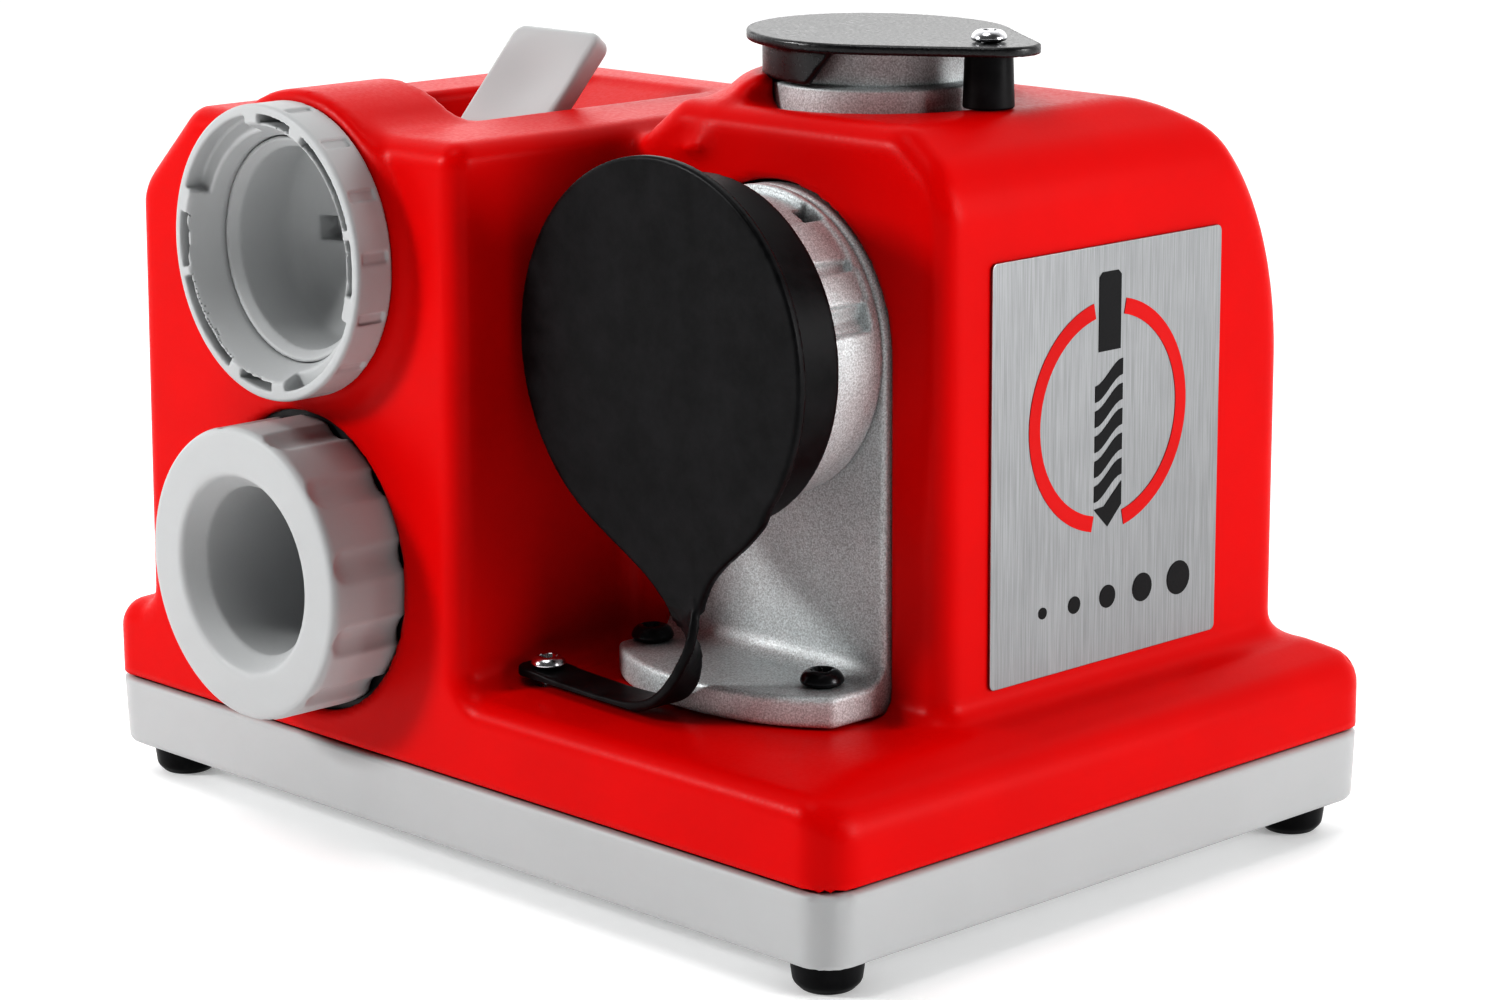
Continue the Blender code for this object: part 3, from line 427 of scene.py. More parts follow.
def moulded(name, colour, roughness, grain=0.35, depth=0.012, vary=0.05, specular=0.5):
    """Moulded plastic: fine spark-eroded grain, slight drift of colour and gloss."""
    material, tree, shader = surface(name, colour, roughness, specular=specular)
    drift = ramp(tree, noise(tree, 30, 2), 0.35, 0.65, 0, 1)
    fleck = ramp(tree, noise(tree, grain * 2.2, 2), 0.3, 0.7, 0, 1)
    shades(tree, shader, drift, colour, 1 - vary, 1 + vary)
    gloss(tree, shader, fleck, roughness - 0.05, roughness + 0.06)
    bump(tree, shader, (noise(tree, grain, 3), depth), (noise(tree, 6, 2), 0.02))
    return material


def rubber_finish(name, colour, roughness):
    """Rubber with the mottle of a worn mould and a dusting of pale specks."""
    material, tree, shader = surface(name, colour, roughness, specular=0.12)
    mottle = ramp(tree, noise(tree, 9, 5, roughness=0.7), 0.35, 0.7, 0, 1)
    speck = ramp(tree, noise(tree, 0.5, 2), 0.66, 0.78, 0, 1)
    dust = tree.nodes.new("ShaderNodeMath")
    dust.operation = "MULTIPLY_ADD"
    tree.links.new(speck, dust.inputs[0])
    dust.inputs[1].default_value = 0.5
    tree.links.new(mottle, dust.inputs[2])
    light = tuple(c * 2.4 + 0.004 for c in colour)
    tree.links.new(tint(tree, dust.outputs["Value"], colour, light), shader.inputs["Base Color"])
    gloss(tree, shader, mottle, roughness - 0.06, roughness + 0.1)
    bump(tree, shader, (noise(tree, 0.4, 3), 0.01), (noise(tree, 4, 3), 0.02))
    return material


def cast_finish(name, colour, roughness, grain=0.4, depth=0.1):
    """Blasted aluminium: coarse bright sparkle with dull patches."""
    material, tree, shader = surface(name, colour, roughness, metallic=0.3)
    spark = ramp(tree, noise(tree, grain, 4, roughness=0.65), 0.36, 0.64, 0, 1)
    patch = ramp(tree, noise(tree, 14, 3), 0.3, 0.7, 0, 1)
    shades(tree, shader, spark, colour, 0.68, 1.32)
    gloss(tree, shader, patch, roughness - 0.07, roughness + 0.08)
    bump(tree, shader, (noise(tree, grain * 0.8, 3), depth), (noise(tree, 5, 3), 0.08))
    return material


def metal_finish(name, colour, roughness, stretch=(1, 1, 1), grain=0.6, depth=0.003, metallic=1.0):
    """Machined or plated metal, its fine marks drawn out along one way."""
    material, tree, shader = surface(name, colour, roughness, metallic=metallic)
    marks = noise(tree, grain, 4, stretch)
    smudge = ramp(tree, noise(tree, 8, 3), 0.3, 0.7, 0, 1)
    shades(tree, shader, ramp(tree, marks, 0.35, 0.65, 0, 1), colour, 0.86, 1.1)
    gloss(tree, shader, smudge, roughness - 0.04, roughness + 0.06)
    bump(tree, shader, (marks, depth))
    return material


FINISHES = {
    "red_plastic": moulded("red_plastic", (0.6, 0.0003, 0.0006), 0.36, grain=0.45, depth=0.016, vary=0.03,
                           specular=0.1),
    "grey_plastic": moulded("grey_plastic", (0.452, 0.46, 0.463), 0.45, grain=0.4, depth=0.008, vary=0.015,
                            specular=0.25),
    "dark_plastic": moulded("dark_plastic", (0.022, 0.022, 0.024), 0.45, vary=0.2),
    "black_rubber": rubber_finish("black_rubber", (0.0045, 0.0045, 0.005), 0.38),
    "satin_rubber": moulded("satin_rubber", (0.01, 0.01, 0.011), 0.3, depth=0.004, vary=0.15),
    "cast_aluminium": cast_finish("cast_aluminium", (0.55, 0.585, 0.59), 0.47),
    "zinc_steel": metal_finish("zinc_steel", (0.72, 0.72, 0.74), 0.18),
    "black_steel": metal_finish("black_steel", (0.025, 0.025, 0.027), 0.25, metallic=0.5),
    "brushed_plate": metal_finish("brushed_plate", (0.29, 0.295, 0.3), 0.34, stretch=(1, 1, 0.02), grain=0.35,
                                  depth=0.002),
    "machined_steel": metal_finish("machined_steel", (0.56, 0.56, 0.58), 0.28, stretch=(0.05, 1, 1)),
    "laminated_steel": metal_finish("laminated_steel", (0.3, 0.3, 0.32), 0.42, stretch=(1, 0.03, 0.03)),
    "copper": metal_finish("copper", (0.8, 0.38, 0.22), 0.3),
    "carbon": moulded("carbon", (0.03, 0.03, 0.032), 0.6, vary=0.3),
    "ferrite": moulded("ferrite", (0.05, 0.05, 0.055), 0.55, vary=0.3),
    "abrasive_wheel": cast_finish("abrasive_wheel", (0.42, 0.4, 0.36), 0.75, depth=0.12),
    "circuit_board": moulded("circuit_board", (0.02, 0.14, 0.06), 0.4, vary=0.2),
}


# ------------------------------------------------------------ cover


def body_blocks(x, y, z):
    """The tall left block and the right block behind the niche, without their openings."""
    def back_curve(centre_y, centre_z, half_y, half_z):
        """Inside an ellipse above and behind its centre, and well inside elsewhere."""
        u, v = np.maximum(y - centre_y, 0) / half_y, np.maximum(z - centre_z, 0) / half_z
        reach = np.maximum(np.hypot(u, v), 1e-6)
        curve = (reach - 1) * reach / np.maximum(np.hypot(u / half_y, v / half_z), 1e-9)
        return np.where((u > 0) | (v > 0), curve, -40.0)

    left = back_curve(25, 112, 51, 56)
    left = eased(left, plane(x, z, (-87, LEFT_TOP), 133.6), 1.8)
    left = meet(left, meet(-SIDE_X - x, x - NICHE_X, 5), 5)
    left = meet(left, plane(-y, z, (90.2, 40), 0.9), 5.5)
    right = back_curve(32, 112, 44.5, 62.8)
    right = eased(right, plane(x, z, (25, RIGHT_TOP), 126.3), 1.2)
    right = eased(right, plane(x, z, (94, RIGHT_TOP), 51.8), 1.8)
    right = meet(right, meet(x - SIDE_X, 1 - x, 7), 7)
    right = meet(right, NICHE_Y - y, 5.5)
    return np.maximum(merge(left, right, 4.5), y - BACK_Y)


def skirt(x, y, z):
    """The cover's lower part: upright edges, then slopes up to the body and the niche's ledge."""
    half_x, half_y, edge_z, pitch = HALF_X + COVER_OUT, HALF_Y + COVER_OUT, 40.5, 62.5
    plan = rounded_box(x, y, half_x, half_y, 10)
    slopes = eased(plane(np.abs(x), z, (half_x, edge_z), pitch), plane(y, z, (half_y, edge_z), pitch), 1.6)
    ledge = eased(plane(-y, z, (HALF_Y, 44), 82.9), z - LEDGE_Z, 0.8)
    top = eased(slopes, ledge, 1.2)
    return plan, meet(plan, top, 5)


def port_collar(x, y, z):
    """The raised C round the left of the top port."""
    u, v = x - TOP_X, y - TOP_Y
    reach = np.hypot(u, v)
    height = meet(z - 180.5, (reach - 30.5) * 0.77 + (z - 180) * 0.64, 3)
    shape = meet(meet(height, 24.4 - reach, 0.7), 165 - z)
    return meet(shape, sector(u, v, 108, 246), 3)


def well(x, y, z):
    """The paddle's well, whose floor ramps up to its back rim."""
    plan = rounded_box(x + 43, y + 21, 23, 39, 6)
    floor = np.maximum(157 - z, plane(y, -z, (-14, -157), 72))
    return meet(plan, floor, 3)


def port_arch(x, z, radius):
    """A round arch over the front port with upright sides."""
    u = x - PORT_X
    return np.where(z > PORT_Z, np.hypot(u, z - PORT_Z), np.abs(u)) - radius


def doorway(x, y, z):
    """The opening that the bracket's plate stands in."""
    arch = port_arch(x, z, PORT_ARCH + 0.7)
    return np.maximum(meet(arch, LEDGE_Z + 0.2 - z, 1), np.abs(y - NICHE_Y) - 8)


def round_hole(u, v, radius, depth_range):
    """A bore round the axis of the (u, v) plane, as long as its depth range says."""
    return np.maximum(np.hypot(u, v) - radius, depth_range)


def cover_field(x, y, z):
    """The housing: skirt and blocks as one moulded shell, with its humps, openings and screw holes."""
    blocks = body_blocks(x, y, z)
    plan, base = skirt(x, y, z)
    shape = np.maximum(merge(base, blocks, 6), plan)
    plain = shape
    hump = meet(np.hypot(x - DIAL_X, z - DIAL_Z) - 36, between(y, -89.8, -60), 2)
    shape = np.maximum(merge(shape, hump, 3), -90.15 - y)
    reach = np.hypot(x - TOP_X, y - TOP_Y)
    dish = meet(173.2 + (reach - 24) * 0.28 - z, reach - 31, 1)
    shape = merge(without(shape, dish, 1.5), port_collar(x, y, z), 3.5)
    pit = well(x, y, z)
    hollow = np.maximum(plain + WALL, WALL - pit)
    bosses = rounded_box(np.abs(x) - FOOT_X, np.abs(y) - FOOT_Y, 5, 5, 4.99)
    hollow = np.maximum(hollow, -bosses)
    shape = without(shape, pit, 1.8)
    shape = without(shape, doorway(x, y, z), 1)
    shape = without(shape, round_hole(x - TOP_X, y - TOP_Y, 23.9, 150 - z), 1)
    dial_bore = round_hole(x - DIAL_X, z - DIAL_Z, DIAL_SLEEVE + 0.15, between(y, -110, -62))
    shape = without(shape, dial_bore, 0.6)
    shape = without(shape, round_hole(x - CHUCK_X, z - CHUCK_Z, CHUCK_RADIUS + 1.2, y + 84), 1)
    shape = without(shape, round_hole(x - GLAND_X, z - GLAND_Z, 6.3, BACK_Y - 8 - y), 0.5)
    mouth = np.maximum(rounded_box(x + 37.25, y - PIN_Y, 16.75, 9, 2), between(z, 149, 160))
    shape = np.maximum(shape, -mouth)
    ledge = between(z, 30, 60)
    for screw_x in BRACKET_SCREW_X:
        shape = np.maximum(shape, -round_hole(x - screw_x, y - BRACKET_SCREW_Y, BRACKET_HOLE, ledge))
    shape = np.maximum(shape, -round_hole(x - STRAP_X, y - STRAP_Y, CAP_SCREW_HOLE, ledge))
    shape = np.maximum(shape, -round_hole(x - POST_X, y - TOP_Y, CAP_SCREW_HOLE, 165 - z))
    return np.maximum(np.maximum(shape, -hollow), COVER_LOW - z)


def cover():
    points, faces = net(cover_field, (-128.4, -93.4, 21.9), (128, 93, 184), 1.6)
    put("cover", points, faces, FINISHES["red_plastic"], "machine", ["housing_cover"])


# ------------------------------------------------------------ tray and feet


def tray_field(x, y, z):
    """A drafted wall with a rolled lower edge, screw posts in its corners and vent slots in its floor."""
    floor = TRAY_LOW + 3.2
    wall = rounded_box(x, y, HALF_X, HALF_Y, 9) + 0.04 * (TRAY_HIGH - z)
    shape = meet(meet(wall, TRAY_LOW - z, 1.8), z - TRAY_HIGH, 0.4)
    corner_x, corner_y = np.abs(x) - FOOT_X, np.abs(y) - FOOT_Y
    post = np.maximum(np.hypot(corner_x, corner_y) - 6, z - TRAY_HIGH + 0.3)
    hollow = without(meet(rounded_box(x, y, HALF_X - WALL, HALF_Y - WALL, 6.5), floor - z, 1.2), post, 0.8)
    shape = without(shape, hollow, 0.3)
    along, pitch, slots = x + 58, 18, 6
    slot = rounded_box(along - pitch * np.clip(np.round(along / pitch), 0, slots - 1), y - 15, 2, 35, 1.8)
    shape = without(shape, np.maximum(slot, z - floor - 1), 0.4)
    return without(shape, np.hypot(corner_x, corner_y) - 2, 0.2)


def tray():
    points, faces = net(tray_field, (-127.3, -92.2, 5.6), (127, 92, 27), 1.5)
    put("tray", points, faces, FINISHES["grey_plastic"], "machine", ["base_tray"])


def feet():
    """Four rubber domes, each with a bore for the long screw through it."""
    profile = softened([(2.0, 3.4, 0), (4.2, 3.4, 0), (4.2, 0, 0.5), (5.6, 0, 1.2), (7.4, 1.8, 2.5),
                        (8.2, 7.5, 0.4), (2.0, 7.5, 0)], 5)
    points, faces = welded(*lathe(profile + profile[:1], 48))
    corners = [(x, y) for y in (-FOOT_Y, FOOT_Y) for x in (-FOOT_X, FOOT_X)]
    for number, (x, y) in enumerate(corners, 1):
        put(f"rubber_foot_{number}", points + (x, y, 0), faces, FINISHES["black_rubber"], "machine",
            [f"foot_{number}"], crease=40)


def label():
    """The brushed plate on the right side, with a plain drill bit and size dots in place of any mark."""
    low, high = SIDE_X + 0.1, SIDE_X + 0.75

    def upright(points):
        """Points of a flat (y, z, x) drawing, stood up against the side."""
        return np.stack([points[:, 2], points[:, 0], points[:, 1]], 1)

    front, back, bottom, top, corner = -24, 51.5, 52.5, 146, 1.5
    outline = softened([(front, bottom, corner), (back, bottom, corner), (back, top, corner),
                        (front, top, corner)], 5)
    points, faces = prism(outline, low, high, 0.2, 2)
    put("side_plate", upright(points), faces, FINISHES["brushed_plate"], "machine",
        ["label_plate"], crease=30)

    centre_y, centre_z, raised = (front + back) / 2, 108.0, high + 0.12
    red = moulded("print_red", (0.55, 0.006, 0.006), 0.5, grain=0.3, depth=0.002, specular=0.15)
    black = moulded("print_black", (0.012, 0.012, 0.013), 0.5, grain=0.3, depth=0.002, specular=0.15)

    def printed(name, outlines, material):
        """A thin piece of ink on the plate."""
        points, faces = [], []
        for outline in outlines:
            more, sides = prism(outline, high - 0.1, raised)
            faces += [tuple(i + len(points) for i in side) for side in sides]
            points += more.tolist()
        points, faces = welded(upright(np.array(points)), faces)
        put(name, points, faces, material, "machine", crease=30)

    gap, outer, inner = 24, 26, 22.5
    ring = []
    for start in (90 + gap / 2, 270 + gap / 2):
        end = start + 180 - gap
        out_and_back = [(outer, start, end), (inner, end, start)]
        ring.append([point for run in out_and_back for point in arc(centre_y, centre_z, *run, 40)])
    printed("plate_ring", ring, red)

    def around_centre(outline):
        return [(centre_y + y, centre_z + z) for y, z in outline]

    half, rise, lowest, pitch, thick = 4.5, 5.2, -19, 5.6, 3.6
    flutes = []
    for i in range(5):
        shares = [k / 8 for k in range(9)]
        wave = [(half * (2 * t - 1), lowest + i * pitch + rise * t * t * (3 - 2 * t)) for t in shares]
        flutes.append(around_centre(wave + [(y, z + thick) for y, z in wave[::-1]]))
    tip = around_centre([(-half, -20.6), (0, -25), (half, -20.6), (half, -20.6 + rise), (-1.2, -20.3)])
    shank = around_centre([(-3.6, 14.5), (3.6, 14.5), (3.6, 31), (2.6, 32), (-2.6, 32), (-3.6, 31)])
    printed("plate_drill", flutes + [tip, shank], black)
    dots = [arc(centre_y - 21 + 10 * i + i * i * 0.35, 67, 1.3 + 0.65 * i, 0, 345, 23) for i in range(5)]
    printed("plate_dots", dots, black)


def screw_field(head, height, shank, length):
    """A pan head screw along z with its head's underside at 0 and a cross recess in its top."""
    def field(x, y, z):
        reach = np.hypot(x, y)
        dome = np.sqrt(reach ** 2 + (z + head * 2.2 - height) ** 2) - head * 2.2
        top = meet(meet(reach - head, dome, height * 0.5), -z, height * 0.32)
        top = without(top, np.maximum(reach - head * 0.5 + (height - z) * 0.9, -z), 0.4)
        arm = head * 0.56 - (height - z) * 0.35
        slot = np.minimum(np.maximum(np.abs(x) - 0.55, np.abs(y) - arm),
                          np.maximum(np.abs(y) - 0.55, np.abs(x) - arm))
        top = without(top, np.maximum(slot, height - 2.3 - z), 0.12)
        thread = shank - 0.18 + 0.18 * np.cos(2 * math.pi * (z / 0.9 - np.arctan2(y, x) / (2 * math.pi)))
        return merge(top, np.maximum(reach - thread, between(z, -length, 0.5)), 0.15)
    return field


def screws():
    top = LEDGE_Z + 7.65
    # Name, head radius and height, shank radius and length, finish; then each one's node, place and turn.
    kinds = [
        ("bracket_bolt", 4.9, 3.6, 2.4, 12, "black_steel",
         [("bracket_screw_1", (BRACKET_SCREW_X[0], BRACKET_SCREW_Y, top), 20),
          ("bracket_screw_2", (BRACKET_SCREW_X[1], BRACKET_SCREW_Y, top), 65)]),
        ("cap_bolt", 4.0, 2.7, 1.75, 11, "zinc_steel",
         [("strap_screw", (STRAP_X, STRAP_Y, STRAP_Z + 2.1), 35),
          ("cap_post_screw", (POST_X, TOP_Y, 189.5), 70)]),
    ]
    for name, head, height, shank, length, slot, spots in kinds:
        points, faces = net(screw_field(head, height, shank, length), (-head - 1, -head - 1, -length - 0.7),
                            (head + 1, head + 1, height + 0.8), 0.24)
        for number, (node, place, turn) in enumerate(spots, 1):
            c, s = math.cos(math.radians(turn)), math.sin(math.radians(turn))
            spun = points @ np.array([(c, s, 0), (-s, c, 0), (0, 0, 1)])
            put(f"{name}_{number}", spun + place, faces, FINISHES[slot], "machine", [node])


# ------------------------------------------------------------ front port


def bracket():
    """The L-shaped casting: an arched plate in the doorway and a bowed foot on the ledge."""
    low = LEDGE_Z + 0.35

    def field(x, y, z):
        u, arch = x - PORT_X, port_arch(x, z, PORT_ARCH)
        plate = meet(meet(arch, between(y, -39, -33.5), 1), low - z)
        bow = (np.hypot(u / 42, (y - NICHE_Y) / 28.3) - 1) * 30
        plan = meet(meet(bow, np.abs(u) - PORT_ARCH, 0.8), plane(u, y, (-PORT_ARCH, -56), 205), 0.8)
        foot = meet(meet(plan, y + 34), between(z, low, low + 7), 1)
        shape = merge(plate, foot, 5)
        shape = np.maximum(np.maximum(shape, arch - 0.01), low - z)
        shape = without(shape, np.hypot(u, z - PORT_Z) - 20.8, 0.8)
        for screw_x in BRACKET_SCREW_X:
            shape = without(shape, np.hypot(x - screw_x, y - BRACKET_SCREW_Y) - BRACKET_HOLE, 0.5)
        return shape

    points, faces = net(field, (21, -69, 45), (94, -31.5, 162), 0.8)
    put("port_bracket", points, faces, FINISHES["cast_aluminium"], "machine",
        ["front_port_bracket"])


def port_ring():
    """The indexing ring: a rear flange, a long pad below and shorter pads at the upper right."""
    # What is cut away between the pads: from and to degrees, down to a radius, and in front of a depth.
    cuts = ((11, 21.5, 32.2, 42.5), (21.5, 34, 33.4, 41.5), (34, 38.5, 32.2, 42.5), (38.5, 58, 33.5, 41.8),
            (58, 130, 32.2, 41.8))
    dip_u, dip_v = arc(0, 0, 33.4, 16.2, 16.2, 1)[0]
    bore = 17.6

    def field(x, y, z):
        u, v = x - PORT_X, z - PORT_Z
        reach, depth = np.hypot(u, v), -y
        shape = meet(reach - PORT_ARCH - 0.1, between(depth, 39.3, 62), 1)
        for start, end, radius, back in cuts:
            low = np.maximum(sector(u, v, start, end), back - depth)
            shape = without(shape, meet(low, radius - reach, 0.5), 0.5)
        shape = without(shape, np.maximum(np.hypot(u - dip_u, v - dip_v) - 2.1, 43 - depth), 0.6)
        shape = without(shape, meet(reach - 24, 54 - depth, 1), 1)
        shape = without(shape, reach - bore, 0.8)
        shape = np.minimum(shape, np.maximum(between(reach, bore, 20.4), between(depth, 30, 45)))
        across, round_it = folded(u, v, 1, 63)
        window = np.maximum(rounded_box(round_it, depth - 42.9, 2.8, 1.7, 0.3), 28 - across)
        pocket = np.maximum(between(reach, 21.5, 29.3), between(depth, 40.8, 52))
        pocket = np.maximum(sector(u, v, 42, 84), pocket)
        return without(shape, np.minimum(window, pocket), 0.2)

    points, faces = net(field, (22, -64, 90), (93, -28, 161), 0.7)
    put("indexing_ring", points, faces, FINISHES["cast_aluminium"], "machine",
        ["front_port_ring"])


def strap_line():
    """The strap's centreline, its width and the turn of its width from x towards -y, all along it."""
    keys = [(64.6, -72.9, 74.5, 9.4, 0), (65.3, -72.9, 71.7, 9.3, -6), (66.5, -73.0, 68.5, 9.4, -28),
            (67, -73.1, 65, 9.5, -48), (66.6, -73.2, 61.5, 9.5, -66), (65.4, -73.3, 58, 9.5, -78),
            (63, -73.2, 54.4, 10, -86), (59.3, -72.9, STRAP_Z + 3.2, 10.3, -90),
            (54.5, -72.4, STRAP_Z + 1.2, 10.5, -90), (49, -72.2, STRAP_Z + 0.2, 10.5, -90),
            (42, -72, STRAP_Z, 10.5, -90), (34, -71.6, STRAP_Z, 10.5, -90),
            (25, -71.2, STRAP_Z + 0.3, 10.5, -90), (STRAP_X, STRAP_Y, STRAP_Z + 0.8, 10.5, -90),
            (STRAP_X - 3, STRAP_Y, STRAP_Z + 1.0, 10.5, -90)]
    return through(keys, 71)


def strap_field(x, y, z):
    """A flat strip 2.2 mm thick along the strap's line, measured near it and left far away elsewhere."""
    line = strap_line()
    places, widths = line[:, :3], line[:, 3]
    turns = np.radians(line[:, 4])
    along = np.gradient(places, axis=0)
    along /= np.linalg.norm(along, axis=1)[:, None]
    across = np.stack([np.cos(turns), np.sin(turns), np.zeros(len(turns))], 1)
    across -= (across * along).sum(1)[:, None] * along
    across /= np.linalg.norm(across, axis=1)[:, None]
    outward = np.cross(along, across)
    x, y, z = np.broadcast_arrays(x, y, z)
    result = np.full(x.shape, 30.0)
    near = (z < 78) & (y > -82) & (y < -62)
    points = np.stack([x[near], y[near], z[near]], 1)
    nearest = np.zeros(len(points), int)
    best = np.full(len(points), 1e9)
    for i, place in enumerate(places):
        gap = ((points - place) ** 2).sum(1)
        nearest[gap < best] = i
        best = np.minimum(best, gap)
    offset = points - places[nearest]
    sideways, raised, onward = ((offset * way[nearest]).sum(1) for way in (across, outward, along))
    half = widths[nearest] / 2
    last, first = nearest == len(places) - 1, nearest == 0
    flat = np.where(last, rounded_box(sideways, onward, half, 3.0, 2.8), np.abs(sideways) - half)
    flat = np.maximum(flat, np.where(first, -onward, -9.0))
    result[near] = meet(flat, np.abs(raised) - 1.1, 0.4)
    return result


def front_cap():
    """The rubber dust cap and its strap in one moulding."""
    left = [(40.5, 90.5), (46.8, 84.3), (52.4, 79), (57.8, 74.4), (60.5, 72)]
    right = [(70.1, 72), (70.9, 74.6), (73.5, 79.4), (77.6, 84.8), (83.6, 90.9), (87, 95)]
    throat = [*through(left, 15), *through(right, 19), (60, 100)]
    disc, back, front, skirt_out, skirt_in = 43.5, 71.7, 74, 38.4, 34.3

    def field(x, y, z):
        u, v = x - PORT_X, z - PORT_Z
        reach, depth = np.hypot(u, v), -y
        x, z = np.broadcast_arrays(x, z)
        face = merge(reach - disc, outline_distance(throat, x, z), 6)
        face = meet(face, between(depth, back, front), 0.45)
        wall = meet(meet(reach - skirt_out, skirt_in - reach, 0.4), between(depth, 57, back + 0.8), 0.4)
        shape = merge(face, wall, 0.8)
        shape = merge(shape, strap_field(x, y, z), 0.6)
        return without(shape, np.maximum(np.hypot(x - STRAP_X, y - STRAP_Y) - 2.1, z - 60), 0.2)

    points, faces = net(field, (8.5, -80.3, 47.8), (103, -55.5, 171), 0.62)
    piece = put("front_dust_cap", points, faces, FINISHES["black_rubber"], None,
                ["front_cap", "front_cap_strap"])
    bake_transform(piece)


# ------------------------------------------------------------ top port


def top_ring():
    """The grainy ring in the top, with a smooth neck that the cap's skirt closes round."""
    profile = softened([(16, 150, 0), (18.5, 150, 0.5), (18.5, 164, 0), (25, 166, 0), (25, 171.5, 0),
                        (24.2, 171.5, 0), (24.2, 178.8, 0.6), (20.8, 179.2, 0.5), (20.2, 186.6, 0.8),
                        (16, 186.6, 0.5)], 5)
    points, faces = welded(*lathe(profile + profile[:1]))
    put("top_port_casting", points + (TOP_X, TOP_Y, 0), faces, FINISHES["cast_aluminium"], "machine",
        ["top_port_ring"], crease=40)


def top_cap():
    """The top dust cap: a disc that draws in to a rounded tail, with a cut-away skirt below."""
    reach_end, tail_radius, radius, bottom, top = POST_X - TOP_X + 3, 9.0, 29.5, 187, 189.2
    slant = (radius - tail_radius) / reach_end
    upright = math.sqrt(1 - slant * slant)

    def field(x, y, z):
        u, v = x - TOP_X, y - TOP_Y
        reach = np.hypot(u, v)
        side = np.abs(v)
        along = u * upright - side * slant
        tail_u = u - reach_end
        flank = u * slant + side * upright - radius
        tail = np.hypot(tail_u, side) - tail_radius
        plan = np.where(along < 0, reach - radius, np.where(along > reach_end * upright, tail, flank))
        rise = 1.1 * np.clip((30 - u) / 60, 0, 1) ** 1.5
        height = z - rise
        disc = meet(plan, between(height, bottom, top), 0.5)
        wall = meet(meet(reach - 26, 23.7 - reach, 0.3), between(height, 179.3, bottom + 0.6), 0.4)
        lean = (z - 183.5) * 0.035
        around = sector(u * np.cos(lean) + v * np.sin(lean), v * np.cos(lean) - u * np.sin(lean), 284, 400)
        wall = without(wall, around, 0.8)
        shape = merge(disc, wall, 0.7)
        return without(shape, np.hypot(x - POST_X, v) - 2.1, 0.2)

    points, faces = net(field, (22, -32, 177.9), (99.6, 30, 192), 0.6)
    piece = put("top_dust_cap", points, faces, FINISHES["satin_rubber"], None,
                ["top_cap", "top_cap_tail"])
    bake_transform(piece)


def post():
    """The rubber post that the top cap's tail is screwed to."""
    profile = softened([(2.1, 175, 0), (5.7, 175, 0.5), (5.3, 186.7, 0.3), (2.1, 186.7, 0)], 4)
    points, faces = welded(*lathe(profile + profile[:1], 64))
    put("top_cap_post", points + (POST_X, TOP_Y, 0), faces, FINISHES["black_rubber"], "machine",
        ["cap_post"], crease=40)


# ------------------------------------------------------------ setting port


def dial():
    """The ring on the setting port: a slotted face, two lug windows and grip bars on its rim."""
    outer, thick, bore, channel_reach, notch = 33.7, 10, 26, (29.5, 31.5), 33.1

    def field(x, y, z):
        u, v = x - DIAL_X, z - DIAL_Z
        reach, depth = np.hypot(u, v), FRONT_Y - y
        shape = meet(meet(reach - outer, depth - thick, 0.9), 0.3 - depth, 0.3)
        shape = np.minimum(shape, np.maximum(reach - DIAL_SLEEVE, between(depth, -6, 1)))
        shape = without(shape, meet(reach - 29.4, thick - 0.4 - depth, 0.1), 0.2)
        for side in (0, 180):
            for start, end in ((-12, 12), (16, 62), (70, 92)):
                channel = meet(sector(u, v, start + side, end + side), between(reach, *channel_reach), 0.3)
                shape = without(shape, np.maximum(channel, 4 - depth), 0.2)
            window = np.maximum(sector(u, v, 101 + side, 157 + side), reach - 31.3)
            shape = without(shape, meet(window, 5.5 - depth, 0.5), 0.3)
        flare = (reach - bore - (depth - 2.2) * 0.42) * 0.92
        shape = without(shape, np.minimum(reach - bore, flare), 0.2)
        _, round_it = folded(u, v, 15, 4)
        bar = np.maximum(rounded_box(round_it, depth - 5, 1.3, 3.4, 0.3), notch - reach)
        return without(shape, bar, 0.15)

    points, faces = net(field, (-78.5, -101, 105), (-8.5, -83, 175), 0.55)
    put("setting_ring", points, faces, FINISHES["grey_plastic"], "dial",
        ["setting_dial"])


